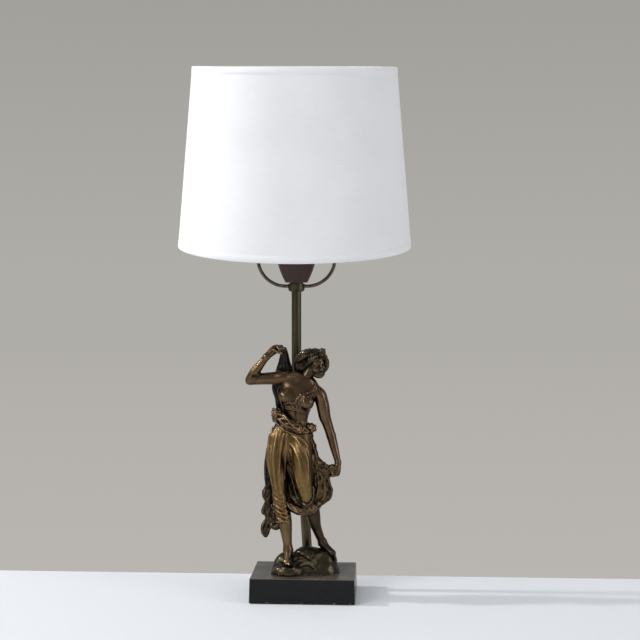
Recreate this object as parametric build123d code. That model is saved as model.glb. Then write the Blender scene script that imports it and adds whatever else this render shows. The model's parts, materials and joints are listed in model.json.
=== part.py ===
from build123d import *
import os
from functools import cache
from math import atan2, cos, degrees, radians, sin

# Figural table lamp. Millimetres, +Z up, +X to the viewer's right, +Y away from the viewer.
# The origin is the middle of the felt's underside, on the table. "Right" and "left" in the
# figure's names are the figure's own, so her right arm is on the viewer's left.

# ---------------------------------------------------------------- fits
SLIDE = 0.05  # radial clearance of a screw, stud or spigot in its bore
FACE_GAP = 0.1  # gap between flat faces that turn against each other
LOOSE = 0.25  # radial clearance of a bolt in a drilled hole

# ---------------------------------------------------------------- plinth
PLINTH_W = 104.0  # along X, at the top
PLINTH_D = 73.0  # along Y, at the top
PLINTH_H = 24.3
PLINTH_FLARE = 0.65  # each side leans out by this much towards the bottom
PLINTH_EDGE = 0.6  # chamfer along the top edges
FELT_T = 1.0
FELT_INSET = 1.5
POCKET_D = 23.0  # round pocket under the stem, for its washer and nut
POCKET_DEPTH = 14.0

# ---------------------------------------------------------------- cable inlet, in the rear face
INLET_R = 3.2
INLET_WALL = 1.3
INLET_HEIGHT = 7.5  # above the plinth's underside
INLET_FLANGE_R = 6.0
INLET_FLANGE_T = 1.5

# ---------------------------------------------------------------- cranked stem tube
STEM_D = 10.0
STEM_WALL = 1.0
STEM_Y = 23.0
STEM_FOOT_X = 2.2
STEM_TOP_X = -9.5
STEM_BEND_R = 40.0
CRANK_LOW = 6.0  # height of the lower bend above the plinth
CRANK_HIGH = 197.0  # height of the upper bend above the plinth
STEM_RISE = 283.9  # from the plinth to the collar's underside
STEM_TAIL = 1.5  # thread left below the nut
COLLAR_D = 16.0
COLLAR_T = 3.0
STEM_WASHER_D = 20.0
STEM_WASHER_T = 1.2
STEM_NUT_AF = 17.0
STEM_NUT_T = 5.0

# ---------------------------------------------------------------- hub and harp
HUB_D = 17.0
HUB_H = 8.2
HUB_CHAMFER = 1.8
HARP_ROD = 3.5
HARP_SEAT = 5.6  # height of the rod's axis above the hub's underside
HARP_HALF_W = 39.8
HARP_BEND_R = 28.8
HARP_H = 163.2  # between the rod's lower and upper axes
HARP_GRIP = 2.5  # length of rod inside the hub
GRUB_R = 1.5
GRUB_L = 3.0

# ---------------------------------------------------------------- lamp holder
SEAT_WASHER_D = 14.0
SEAT_WASHER_T = 1.1
CUP_FOOT_R = 11.25
CUP_WAIST_R = 17.9
CUP_WAIST_Z = 15.5
CUP_RIM_R = 21.0
CUP_H = 30.0
CUP_WALL = 2.2
CUP_BASE = 3.0
HOLDER_NUT_AF = 14.0
HOLDER_NUT_T = 3.0
INSERT_R = 16.0
INSERT_T = 7.0
SHELL_R = 13.3  # bore of the screw shell
SHELL_T = 0.5
SHELL_H = 22.0
SLEEVE_H = 30.0
SLEEVE_BORE_R = 15.0
SPIGOT_H = 6.0
SPIGOT_T = 1.2
PLUNGER_R = 2.0
PLUNGER_HEAD_R = 3.2
PLUNGER_HEAD_T = 1.4
PLUNGER_LIFT = 0.8  # head stands this far off the insert
PLUNGER_L = 5.0
TERMINAL_R = 1.7
TERMINAL_L = 5.0
TERMINAL_PITCH = 9.5  # distance of each terminal screw from the axis

# ---------------------------------------------------------------- bulb
BULB_DOT_R = 4.5
BULB_DOT_T = 1.5
BULB_COLLET_H = 4.5
BULB_CAP_R = 13.2
BULB_CAP_H = 21.0
BULB_CAP_WALL = 0.4
BULB_GLOBE_R = 30.0
BULB_NECK_R = 12.6
BULB_NECK_H = 14.0
BULB_GLASS_T = 0.8
BULB_STEM_R = 3.0
BULB_STEM_H = 34.0
FILAMENT_R = 0.5
FILAMENT_SPAN = 12.0

# ---------------------------------------------------------------- tilting head on the harp
HEAD_SHIFT = -1.7  # the saddle is brazed this far off the harp's middle
HEAD_LEAN = 0.8  # degrees, towards +X
SADDLE_R = 6.0
SADDLE_BELOW = 4.0
SADDLE_ABOVE = 5.0
FORK_BASE_T = 3.0
FORK_SPIGOT_R = 2.4
FORK_SPIGOT_L = 2.5
PIVOT_RISE = 14.0  # pivot above the harp's upper rod
EAR_R = 5.0
EAR_T = 2.6
TONGUE_T = 4.0
TONGUE_R = 4.6
TONGUE_NECK = 9.5  # pivot to the flange's underside
FLANGE_R = 7.0
FLANGE_T = 2.0
STUD_R = 2.5
STUD_L = 21.5
TILT_SCREW_R = 2.0
TILT_HEAD_R = 4.0
TILT_HEAD_T = 2.6
THUMB_NUT_R = 4.8
THUMB_NUT_T = 4.6
THUMB_RIBS = 14
SHADE_TILT = 10.0  # degrees that the shade is tipped towards the viewer

# ---------------------------------------------------------------- shade
SHADE_BOTTOM_R = 121.6
SHADE_TOP_R = 103.9
SHADE_H = 183.0
SHADE_T = 1.2
SHADE_ABOVE_PIVOT = 46.8
RING_WIRE = 3.0
RING_INSET = 2.0  # ring's middle to the shade's edge, along the axis
SPIDER_WIRE = 3.0
SPIDER_ARMS = 3
SPIDER_HUB_R = 9.0
SPIDER_HUB_T = 2.5
FINIAL_BASE_R = 6.0
FINIAL_BASE_T = 3.0
FINIAL_WAIST_R = 3.6
FINIAL_KNOB_R = 6.2
FINIAL_H = 25.0

# ---------------------------------------------------------------- figure's fixing
SCREW_R = 2.0
SCREW_HEAD_R = 3.6
SCREW_HEAD_T = 2.6
SCREW_WASHER_R = 4.6
SCREW_WASHER_T = 1.0
SCREW_BITE = 9.0  # length of screw inside the rock
SCREW_COUNTERBORE = 7.0
SCREW_PLACES = [(-15.0, -8.0), (19.0, -5.0)]
BOSS_R = 4.5
ROCK_WALL = 3.0

# Levels that follow from the sizes above.
PLINTH_TOP = FELT_T + PLINTH_H
POCKET_TOP = FELT_T + POCKET_DEPTH
HUB_Z = PLINTH_TOP + STEM_RISE
HARP_FOOT_Z = HUB_Z + HARP_SEAT
HARP_TOP_Z = HARP_FOOT_Z + HARP_H
CUP_Z = HUB_Z + HUB_H + SEAT_WASHER_T
INSERT_Z = CUP_Z + CUP_H - INSERT_T
SHELL_Z = CUP_Z + CUP_H
PLUNGER_Z = SHELL_Z + PLUNGER_LIFT
BULB_Z = PLUNGER_Z + PLUNGER_HEAD_T
INLET_Z = FELT_T + INLET_HEIGHT


# ---------------------------------------------------------------- the figure's skeleton
def spot(x, y, z):
    """A point of the figure: its height is counted from the plinth's top."""
    return Vector(x, y, PLINTH_TOP + z)


RIGHT_ANKLE = spot(-15.4, -14, 25)
RIGHT_CALF = RIGHT_ANKLE + Vector(-3.0, 1, 27)
RIGHT_KNEE = RIGHT_CALF + Vector(-5.4, 1, 27)
RIGHT_THIGH = RIGHT_KNEE + Vector(-5.0, 4, 37)
RIGHT_HIP = RIGHT_THIGH + Vector(4, 5, 18)
LEFT_ANKLE = spot(18.5, 0, 29)
LEFT_CALF = LEFT_ANKLE + Vector(-10, -9, 32)
LEFT_KNEE = LEFT_CALF + Vector(-5.5, -7, 18)
LEFT_THIGH = LEFT_KNEE + Vector(-4.6, 5, 43)
LEFT_HIP = LEFT_THIGH + Vector(-1.5, 6, 14)
PELVIS = (RIGHT_HIP + LEFT_HIP) * 0.5 + Vector(-0.5, 2, 1)
WAIST = PELVIS + Vector(6, -0.5, 21.5)
RIBS = WAIST + Vector(0.6, -0.5, 12.5)
CHEST = RIBS + Vector(2, 0, 12)
SHOULDERS = CHEST + Vector(3.5, 1, 11.5)
NECK = SHOULDERS + Vector(4, 0, 5.5)
HEAD = NECK + Vector(10.8, -1.5, 13.5)
RIGHT_SHOULDER = SHOULDERS + Vector(-17, 0, 3.5)
RIGHT_ELBOW = RIGHT_SHOULDER + Vector(-34.5, -2, -2)
RIGHT_WRIST = RIGHT_ELBOW + Vector(16.3, -4, 23.5)
RIGHT_FIST = RIGHT_WRIST + Vector(9.6, 3, 8)
LEFT_SHOULDER = SHOULDERS + Vector(18.8, 0, -15)
LEFT_BICEP = LEFT_SHOULDER + Vector(4.3, 1, -19)
LEFT_ELBOW = LEFT_BICEP + Vector(6.7, 1, -21.5)
LEFT_WRIST = LEFT_ELBOW + Vector(7.2, -6, -26)
LEFT_FIST = LEFT_WRIST + Vector(-1.5, -1, -10.5)

THIGH_R = 8.9
KNEE_R = 7.0
CALF_R = 6.3
ANKLE_R = 4.0
FOOT_R = 4.4
UPPER_ARM_R = 6.2
ELBOW_R = 5.5
FOREARM_R = 5.1
WRIST_R = 3.3
FIST_R = 4.6
NECK_R = 5.8
HEAD_R = 10.6
HEAD_HALF_H = 15.2
HEAD_TURN = 16.0  # degrees that the head leans over towards +X
CLOTH_T = 3.2  # half thickness of the hanging cloak
QUARTER = 0.5523  # handle of the curve that draws a quarter of an oval, as a share of its radius
ROSETTE_R = 4.6
SASH_HALF_H = 3.6
WREATH_R = 1.5


# ---------------------------------------------------------------- small helpers
def at(x, y, z):
    """Move a shape to a point."""
    return Pos(x, y, z)


def place(point):
    """Move a shape to a vector."""
    return Pos(point.X, point.Y, point.Z)


def rod(radius, length):
    """A cylinder that stands on the plane z = 0."""
    return Cylinder(radius, length, align=(Align.CENTER, Align.CENTER, Align.MIN))


def tube(outer, inner, length):
    """A hollow cylinder that stands on the plane z = 0."""
    return rod(outer, length) - rod(inner, length)


def hexagon(across_flats, length):
    """A hexagonal prism that stands on the plane z = 0."""
    return extrude(RegularPolygon(across_flats / 2, 6, major_radius=False), amount=length)


def turned(points):
    """A turned piece: a closed outline of (radius, height) points, spun about Z."""
    outline = make_face(Polyline([(r, 0, z) for r, z in points], close=True))
    return revolve(outline, axis=Axis.Z)


def oval(centre, rx, ry, lean=0.0):
    """A level oval section of the figure, leaned towards +X by some degrees."""
    tip = radians(lean)
    plane = Plane(
        origin=centre, x_dir=(cos(tip), 0, -sin(tip)), z_dir=(sin(tip), 0, cos(tip))
    )
    return plane * Ellipse(rx, ry)


def draped(sections):
    """A smooth closed form through oval sections: (centre, rx, ry, lean)."""
    return loft([oval(*section) for section in sections])


def limb(points, radii, tip=True, root=False):
    """A smooth round limb through points, with rounded ends where they show."""
    sections = []
    last = len(points) - 1
    for i, (point, radius) in enumerate(zip(points, radii)):
        along = (points[min(i + 1, last)] - points[max(i - 1, 0)]).normalized()
        across = Vector(0, 1, 0).cross(along)
        sections.append(Plane(origin=point, x_dir=across, z_dir=along) * Circle(radius))
    form = loft(sections)
    swell = 1.03
    if tip:
        form += place(points[-1]) * Sphere(radii[-1] * swell)
    if root:
        form += place(points[0]) * Sphere(radii[0] * swell)
    return form


def egg(centre, radius, half_height, lean=0.0):
    """An egg shape: a turned oval, tipped about Y."""
    low, high = (0, -half_height), (0, half_height)
    wide, tall = QUARTER * radius, QUARTER * half_height
    lower = Bezier(low, (wide, -half_height), (radius, -tall), (radius, 0))
    upper = Bezier((radius, 0), (radius, tall), (wide, half_height), high)
    body = revolve(Plane.XZ * make_face([lower, upper, Line(high, low)]), axis=Axis.Z)
    return place(centre) * Rot(0, lean, 0) * body


def cut(piece, *neighbours):
    """A casting with its seats for the neighbouring castings taken out, as one solid."""
    for neighbour in neighbours:
        piece = piece - neighbour
    return max(piece.solids(), key=lambda solid: solid.volume)


# ---------------------------------------------------------------- plinth and its fixings
@cache
def plinth_block():
    """Tapered block, without its holes."""
    lean = degrees(atan2(PLINTH_FLARE, PLINTH_H))
    foot = Rectangle(PLINTH_W + 2 * PLINTH_FLARE, PLINTH_D + 2 * PLINTH_FLARE)
    block = at(0, 0, FELT_T) * extrude(foot, amount=PLINTH_H, taper=lean)
    top_edges = block.faces().sort_by(Axis.Z)[-1].edges()
    return chamfer(top_edges, PLINTH_EDGE)


def rear_face_y(z):
    """Distance of the plinth's sloping rear face from the middle, at a height."""
    return PLINTH_D / 2 + PLINTH_FLARE * (PLINTH_TOP - z) / PLINTH_H


def plinth():
    block = plinth_block()
    block -= at(STEM_FOOT_X, STEM_Y, FELT_T) * rod(POCKET_D / 2, POCKET_DEPTH)
    block -= at(STEM_FOOT_X, STEM_Y, FELT_T) * rod(STEM_D / 2 + LOOSE, PLINTH_H)
    for x, y in SCREW_PLACES:
        block -= at(x, y, FELT_T) * rod(SCREW_WASHER_R + LOOSE, SCREW_COUNTERBORE)
        block -= at(x, y, FELT_T) * rod(SCREW_R + LOOSE, PLINTH_H)
    inlet = rod(INLET_R + INLET_WALL + SLIDE, PLINTH_D / 2)
    block -= at(STEM_FOOT_X, STEM_Y, INLET_Z) * Rot(-90, 0, 0) * inlet
    return block


def plinth_felt():
    wide = PLINTH_W + 2 * PLINTH_FLARE - 2 * FELT_INSET
    deep = PLINTH_D + 2 * PLINTH_FLARE - 2 * FELT_INSET
    return extrude(Rectangle(wide, deep), amount=FELT_T)


def cable_inlet_bush():
    face = rear_face_y(INLET_Z)
    inner_end = STEM_Y + POCKET_D / 2 - 0.5
    length = face + INLET_FLANGE_T - inner_end
    barrel = at(STEM_FOOT_X, inner_end, INLET_Z) * Rot(-90, 0, 0) * rod(INLET_R + INLET_WALL, length)
    flange = at(STEM_FOOT_X, face, INLET_Z) * Rot(-90, 0, 0) * rod(INLET_FLANGE_R, INLET_FLANGE_T)
    bore = at(STEM_FOOT_X, inner_end, INLET_Z) * Rot(-90, 0, 0) * rod(INLET_R, length)
    flange -= plinth_block()
    return barrel + flange - bore


def figure_screws():
    screws = []
    ceiling = FELT_T + SCREW_COUNTERBORE - SCREW_WASHER_T
    for x, y in SCREW_PLACES:
        head = at(x, y, ceiling - SCREW_HEAD_T) * rod(SCREW_HEAD_R, SCREW_HEAD_T)
        slot = Box(2 * SCREW_HEAD_R, 1, 1.2, align=(Align.CENTER, Align.CENTER, Align.MIN))
        head -= at(x, y, ceiling - SCREW_HEAD_T) * slot
        shank = at(x, y, ceiling) * rod(SCREW_R, PLINTH_TOP + SCREW_BITE - ceiling)
        screws.append(head + shank)
    return Compound(children=screws)


def figure_washers():
    level = FELT_T + SCREW_COUNTERBORE - SCREW_WASHER_T
    ring = tube(SCREW_WASHER_R, SCREW_R + SLIDE, SCREW_WASHER_T)
    return Compound(children=[at(x, y, level) * ring for x, y in SCREW_PLACES])


# ---------------------------------------------------------------- stem
def stem_path():
    """Upright foot, slanting middle run and upright top."""
    bottom = POCKET_TOP - STEM_WASHER_T - STEM_NUT_T - STEM_TAIL
    top = CUP_Z + CUP_BASE + HOLDER_NUT_T + STEM_TAIL
    return FilletPolyline(
        (STEM_FOOT_X, STEM_Y, bottom),
        (STEM_FOOT_X, STEM_Y, PLINTH_TOP + CRANK_LOW),
        (STEM_TOP_X, STEM_Y, PLINTH_TOP + CRANK_HIGH),
        (STEM_TOP_X, STEM_Y, top),
        radius=STEM_BEND_R,
    )


def stem_tube():
    path = stem_path()
    ring = Circle(STEM_D / 2) - Circle(STEM_D / 2 - STEM_WALL)
    return sweep(Plane(origin=path @ 0, z_dir=(0, 0, 1)) * ring, path=path)


def stem_collar():
    """Round nut that clamps the stem from above."""
    disc = rod(COLLAR_D / 2, COLLAR_T)
    disc = chamfer(disc.edges().group_by(Axis.Z)[-1], 0.8)
    return at(STEM_FOOT_X, STEM_Y, PLINTH_TOP) * (disc - rod(STEM_D / 2 + SLIDE, COLLAR_T))


def stem_washer():
    ring = tube(STEM_WASHER_D / 2, STEM_D / 2 + SLIDE, STEM_WASHER_T)
    return at(STEM_FOOT_X, STEM_Y, POCKET_TOP - STEM_WASHER_T) * ring


def stem_nut():
    nut = hexagon(STEM_NUT_AF, STEM_NUT_T) - rod(STEM_D / 2 + SLIDE, STEM_NUT_T)
    return at(STEM_FOOT_X, STEM_Y, POCKET_TOP - STEM_WASHER_T - STEM_NUT_T) * nut


# ---------------------------------------------------------------- hub and harp
def on_stem(z):
    """Move a turned piece onto the stem's upright top."""
    return at(STEM_TOP_X, STEM_Y, z)


def harp_path():
    low, high = HARP_FOOT_Z, HARP_TOP_Z
    inner = HUB_D / 2 - HARP_GRIP
    return FilletPolyline(
        (STEM_TOP_X - inner, STEM_Y, low),
        (STEM_TOP_X - HARP_HALF_W, STEM_Y, low),
        (STEM_TOP_X - HARP_HALF_W, STEM_Y, high),
        (STEM_TOP_X + HARP_HALF_W, STEM_Y, high),
        (STEM_TOP_X + HARP_HALF_W, STEM_Y, low),
        (STEM_TOP_X + inner, STEM_Y, low),
        radius=HARP_BEND_R,
    )


@cache
def harp():
    path = harp_path()
    return sweep(Plane(origin=path @ 0, z_dir=path % 0) * Circle(HARP_ROD / 2), path=path)


def hub():
    r, h, c = HUB_D / 2, HUB_H, HUB_CHAMFER
    body = turned([(0, 0), (r - c, 0), (r, c), (r, h - 0.5), (r - 0.5, h), (0, h)])
    body -= rod(STEM_D / 2 + SLIDE, h)
    sockets = at(0, 0, HARP_SEAT) * Rot(0, 90, 0) * Cylinder(HARP_ROD / 2 + SLIDE, HUB_D)
    grub = at(0, 0, HARP_SEAT) * Rot(-90, 0, 0) * rod(GRUB_R + SLIDE, HUB_D)
    return on_stem(HUB_Z) * (body - sockets - grub)


def hub_grub_screw():
    screw = at(0, STEM_D / 2 + SLIDE, HARP_SEAT) * Rot(-90, 0, 0) * rod(GRUB_R, GRUB_L)
    slot_depth = 0.8
    slot = at(0, STEM_D / 2 + GRUB_L, HARP_SEAT) * Box(2 * GRUB_R, 2 * slot_depth, 0.6)
    return on_stem(HUB_Z) * (screw - slot)


# ---------------------------------------------------------------- lamp holder
def holder_seat_washer():
    ring = tube(SEAT_WASHER_D / 2, STEM_D / 2 + SLIDE, SEAT_WASHER_T)
    return on_stem(HUB_Z + HUB_H) * ring


def cup_form(inset):
    """Solid of the cup's bulging side, pulled in by a wall."""
    foot = (CUP_FOOT_R - inset, 0)
    waist = (CUP_WAIST_R - inset, CUP_WAIST_Z)
    rim = (CUP_RIM_R - inset, CUP_H)
    side = ThreePointArc(foot, waist, rim)
    back = Polyline(rim, (0, CUP_H), (0, 0), foot)
    return revolve(Plane.XZ * make_face([side, back]), axis=Axis.Z)


def holder_cup():
    """Open cone with a thick base that screws onto the stem."""
    room = cup_form(CUP_WALL) - rod(CUP_RIM_R, CUP_BASE)
    return on_stem(CUP_Z) * (cup_form(0) - room - rod(STEM_D / 2 + SLIDE, CUP_BASE))


def holder_nut():
    nut = hexagon(HOLDER_NUT_AF, HOLDER_NUT_T) - rod(STEM_D / 2 + SLIDE, HOLDER_NUT_T)
    return on_stem(CUP_Z + CUP_BASE) * nut


def spigot_radius():
    """Outside of the sleeve's spigot, inside the cup's rim."""
    return CUP_RIM_R - CUP_WALL - 1.0


def holder_sleeve():
    """Upper half of the holder, which guards the screw shell and plugs into the cup."""
    r, h = CUP_RIM_R, SLEEVE_H
    body = turned([(0, 0), (r, 0), (r, h - 1.5), (r - 1.5, h), (0, h)]) - rod(SLEEVE_BORE_R, h)
    outer = spigot_radius()
    spigot = at(0, 0, -SPIGOT_H) * tube(outer, outer - SPIGOT_T, SPIGOT_H + 1)
    return on_stem(SHELL_Z) * (body + spigot)


def holder_insert():
    """Porcelain disc with bores for the plunger and the terminal screws."""
    disc = rod(INSERT_R, INSERT_T) - rod(PLUNGER_R + SLIDE, INSERT_T)
    for side in (-1, 1):
        disc -= at(side * TERMINAL_PITCH, 0, 0) * rod(TERMINAL_R + SLIDE, TERMINAL_L)
    return on_stem(INSERT_Z) * disc


def holder_screw_shell():
    shell = tube(SHELL_R + SHELL_T, SHELL_R, SHELL_H)
    foot = tube(SLEEVE_BORE_R - SLIDE, BULB_CAP_R - 4, SHELL_T)
    return on_stem(SHELL_Z) * (shell + foot)


def terminal_screws():
    head_t = 1.6
    screws = []
    for side in (-1, 1):
        screw = rod(TERMINAL_R, TERMINAL_L) + at(0, 0, -head_t) * rod(TERMINAL_R + 1.2, head_t)
        screws.append(on_stem(INSERT_Z) * at(side * TERMINAL_PITCH, 0, 0) * screw)
    return Compound(children=screws)


def centre_contact():
    """Sprung plunger that presses on the bulb's contact."""
    pin = at(0, 0, -PLUNGER_L) * rod(PLUNGER_R, PLUNGER_L)
    return on_stem(PLUNGER_Z) * (pin + rod(PLUNGER_HEAD_R, PLUNGER_HEAD_T))


# ---------------------------------------------------------------- bulb
CAP_Z = BULB_Z + BULB_DOT_T + BULB_COLLET_H
GLASS_Z = CAP_Z + BULB_CAP_H


def bulb_contact():
    return on_stem(BULB_Z) * rod(BULB_DOT_R, BULB_DOT_T)


def bulb_insulator():
    """Dark glass cone between the contact and the cap."""
    wide = BULB_CAP_R - BULB_CAP_WALL
    cone = Cone(BULB_DOT_R, wide, BULB_COLLET_H, align=(Align.CENTER, Align.CENTER, Align.MIN))
    return on_stem(BULB_Z + BULB_DOT_T) * cone


def bulb_cap():
    return on_stem(CAP_Z) * tube(BULB_CAP_R, BULB_CAP_R - BULB_CAP_WALL, BULB_CAP_H)


def globe_shape(inset):
    """The glass globe with its neck, shrunk by a wall."""
    centre = BULB_NECK_H + BULB_GLOBE_R
    neck = Cone(
        BULB_NECK_R - inset,
        BULB_GLOBE_R * 0.8 - inset,
        centre - BULB_GLOBE_R * 0.6,
        align=(Align.CENTER, Align.CENTER, Align.MIN),
    )
    return neck + at(0, 0, centre) * Sphere(BULB_GLOBE_R - inset)


def bulb_glass():
    skirt = at(0, 0, -4) * tube(BULB_NECK_R, BULB_NECK_R - BULB_GLASS_T, 4)
    return on_stem(GLASS_Z) * (globe_shape(0) - globe_shape(BULB_GLASS_T) + skirt)


def bulb_stem():
    """Glass post that carries the filament, on its pinched foot."""
    post = rod(BULB_STEM_R, BULB_STEM_H)
    foot = rod(BULB_NECK_R - BULB_GLASS_T, 1.5)
    return on_stem(GLASS_Z - 4) * (post + foot)


def bulb_filament():
    """Wire arch on two supports above the glass post."""
    half = FILAMENT_SPAN / 2
    foot = GLASS_Z - 4 + BULB_STEM_H + FILAMENT_R
    path = FilletPolyline(
        (-1, 0, foot),
        (-half, 0, foot + 6),
        (-half, 0, foot + 14),
        (half, 0, foot + 14),
        (half, 0, foot + 6),
        (1, 0, foot),
        radius=1.5,
    )
    wire = sweep(Plane(origin=path @ 0, z_dir=path % 0) * Circle(FILAMENT_R), path=path)
    return at(STEM_TOP_X, STEM_Y, 0) * wire


# ---------------------------------------------------------------- tilting head
HEAD_FRAME = Pos(STEM_TOP_X + HEAD_SHIFT, STEM_Y, HARP_TOP_Z) * Rot(0, HEAD_LEAN, 0)
PIVOT_FRAME = HEAD_FRAME * Pos(0, 0, PIVOT_RISE)
SHADE_FRAME = PIVOT_FRAME * Rot(SHADE_TILT, 0, 0)
EAR_IN = TONGUE_T / 2 + FACE_GAP
EAR_OUT = EAR_IN + EAR_T
STUD_FOOT = TONGUE_NECK + FLANGE_T
SPIDER_Z = STUD_FOOT + FACE_GAP
FINIAL_Z = SPIDER_Z + SPIDER_HUB_T + FACE_GAP


def along_x(piece):
    """Turn an upright piece so that it points along +X."""
    return Rot(0, 90, 0) * piece


def harp_saddle():
    body = at(0, 0, -SADDLE_BELOW) * rod(SADDLE_R, SADDLE_BELOW + SADDLE_ABOVE)
    body = chamfer(body.edges().filter_by(GeomType.CIRCLE), 0.8)
    thread = at(0, 0, SADDLE_ABOVE - FORK_SPIGOT_L) * rod(FORK_SPIGOT_R + SLIDE, FORK_SPIGOT_L)
    return HEAD_FRAME * (body - thread) - harp()


def tilt_fork():
    base = at(0, 0, SADDLE_ABOVE) * rod(SADDLE_R, FORK_BASE_T)
    base += at(0, 0, SADDLE_ABOVE - FORK_SPIGOT_L) * rod(FORK_SPIGOT_R, FORK_SPIGOT_L)
    foot = SADDLE_ABOVE + FORK_BASE_T
    for side in (-1, 1):
        middle = side * (EAR_IN + EAR_T / 2)
        ear = at(middle, 0, (foot + PIVOT_RISE) / 2) * Box(EAR_T, 2 * EAR_R, PIVOT_RISE - foot)
        ear += at(middle, 0, PIVOT_RISE) * along_x(Cylinder(EAR_R, EAR_T))
        base += ear
    bore = at(0, 0, PIVOT_RISE) * along_x(Cylinder(TILT_SCREW_R + SLIDE, 4 * EAR_OUT))
    return HEAD_FRAME * (base - bore)


def tilt_screw():
    reach = EAR_OUT + FACE_GAP + THUMB_NUT_T + 1.0
    shank = at(-EAR_OUT, 0, 0) * along_x(rod(TILT_SCREW_R, EAR_OUT + reach))
    head = at(-EAR_OUT - TILT_HEAD_T, 0, 0) * along_x(rod(TILT_HEAD_R, TILT_HEAD_T))
    slot = at(-EAR_OUT - TILT_HEAD_T, 0, 0) * Box(1.6, 2 * TILT_HEAD_R, 0.9)
    return PIVOT_FRAME * (shank + head - slot)


def tilt_thumb_nut():
    nut = rod(THUMB_NUT_R, THUMB_NUT_T) - rod(TILT_SCREW_R + SLIDE, THUMB_NUT_T)
    for i in range(THUMB_RIBS):
        nut -= Rot(0, 0, 360 * i / THUMB_RIBS) * at(THUMB_NUT_R + 0.15, 0, 0) * rod(0.5, THUMB_NUT_T)
    return PIVOT_FRAME * at(EAR_OUT + FACE_GAP, 0, 0) * along_x(nut)


def tilt_tongue():
    """Eye in the fork, with the flange and stud that carry the shade."""
    eye = along_x(Cylinder(TONGUE_R, TONGUE_T))
    neck = at(0, 0, TONGUE_NECK / 2) * Box(TONGUE_T, 6, TONGUE_NECK)
    flange = at(0, 0, TONGUE_NECK) * rod(FLANGE_R, FLANGE_T)
    stud = at(0, 0, STUD_FOOT) * rod(STUD_R, STUD_L)
    bore = along_x(Cylinder(TILT_SCREW_R + SLIDE, 2 * TONGUE_T))
    return SHADE_FRAME * (eye + neck + flange + stud - bore)


def finial():
    """Turned knob that screws down on the spider."""
    knob_z = FINIAL_H - FINIAL_KNOB_R
    body = rod(FINIAL_BASE_R, FINIAL_BASE_T)
    body = chamfer(body.edges().group_by(Axis.Z)[-1], 0.8)
    body += rod(FINIAL_WAIST_R, knob_z)
    body += at(0, 0, knob_z) * Sphere(FINIAL_KNOB_R)
    thread = rod(STUD_R + SLIDE, STUD_FOOT + STUD_L + 1 - FINIAL_Z)
    return SHADE_FRAME * at(0, 0, FINIAL_Z) * (body - thread)


# ---------------------------------------------------------------- shade
SHADE_TOP = SHADE_ABOVE_PIVOT
SHADE_BOTTOM = SHADE_ABOVE_PIVOT - SHADE_H


def shade_radius(z):
    """Outer radius of the shade at a height along its axis."""
    share = (SHADE_TOP - z) / SHADE_H
    return SHADE_TOP_R + (SHADE_BOTTOM_R - SHADE_TOP_R) * share


def shade_cloth():
    """Laminated cloth cone, open at both ends."""
    wall = turned(
        [
            (SHADE_BOTTOM_R, SHADE_BOTTOM),
            (SHADE_TOP_R, SHADE_TOP),
            (SHADE_TOP_R - SHADE_T, SHADE_TOP),
            (SHADE_BOTTOM_R - SHADE_T, SHADE_BOTTOM),
        ]
    )
    return SHADE_FRAME * wall


def ring_radius(z):
    """Radius of a wire ring that lies against the cloth inside."""
    return shade_radius(z) - SHADE_T - RING_WIRE / 2 - SLIDE


def shade_ring(z):
    return SHADE_FRAME * at(0, 0, z) * Torus(ring_radius(z), RING_WIRE / 2)


@cache
def shade_top_ring():
    return shade_ring(SHADE_TOP - RING_INSET)


def shade_bottom_ring():
    return shade_ring(SHADE_BOTTOM + RING_INSET)


def shade_spider():
    """Hub plate with sloping wire arms up to the top ring."""
    ring_z = SHADE_TOP - RING_INSET
    middle = SPIDER_Z + SPIDER_HUB_T / 2
    start = SPIDER_HUB_R - 3.0
    run = ring_radius(ring_z) - start
    rise = ring_z - middle
    slope = degrees(atan2(rise, run))
    arm = at(start, 0, middle) * Rot(0, 90 - slope, 0) * rod(SPIDER_WIRE / 2, (run**2 + rise**2) ** 0.5)
    body = at(0, 0, SPIDER_Z) * rod(SPIDER_HUB_R, SPIDER_HUB_T)
    for i in range(SPIDER_ARMS):
        body += Rot(0, 0, 30 + 360 * i / SPIDER_ARMS) * arm
    body -= at(0, 0, SPIDER_Z) * rod(STUD_R + SLIDE, SPIDER_HUB_T)
    body -= at(0, 0, SPIDER_Z - FLANGE_T) * rod(SPIDER_HUB_R, FLANGE_T)
    body -= at(0, 0, SPIDER_Z + SPIDER_HUB_T) * rod(FINIAL_BASE_R + 1.0, FINIAL_H)
    return SHADE_FRAME * body - shade_top_ring()


# ---------------------------------------------------------------- figure: rock and legs
@cache
def rock_form(inset):
    """Mound with a ledge in front, pulled in by a wall."""
    layers = [
        (spot(1.2, -5.5, 0), 35.0, 19.5),
        (spot(1.6, -5.0, 6), 34.0, 18.0),
        (spot(2.3, -3.0, 11), 32.3, 15.0),
        (spot(4.5, 0.0, 17), 27.5, 12.5),
        (spot(4.5, 2.0, 21.5), 20.0, 9.5),
        (spot(4.0, 3.5, 24.3), 11.0, 5.5),
    ]
    sections = []
    for centre, rx, ry in layers:
        level = centre - Vector(0, 0, inset if centre.Z > PLINTH_TOP else 0)
        sections.append((level, rx - inset, ry - inset * 0.8))
    return draped(sections)


def rock_base():
    """Hollow cast rock with two bosses for the fixing screws."""
    rock = rock_form(0) - rock_form(ROCK_WALL)
    boss_top = PLINTH_TOP + SCREW_BITE + 2
    for x, y in SCREW_PLACES:
        boss = at(x, y, PLINTH_TOP) * rod(BOSS_R, boss_top - PLINTH_TOP + 6)
        rock += boss & rock_form(0)
        rock -= at(x, y, PLINTH_TOP) * rod(SCREW_R + SLIDE, SCREW_BITE + 1)
    return rock


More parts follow.
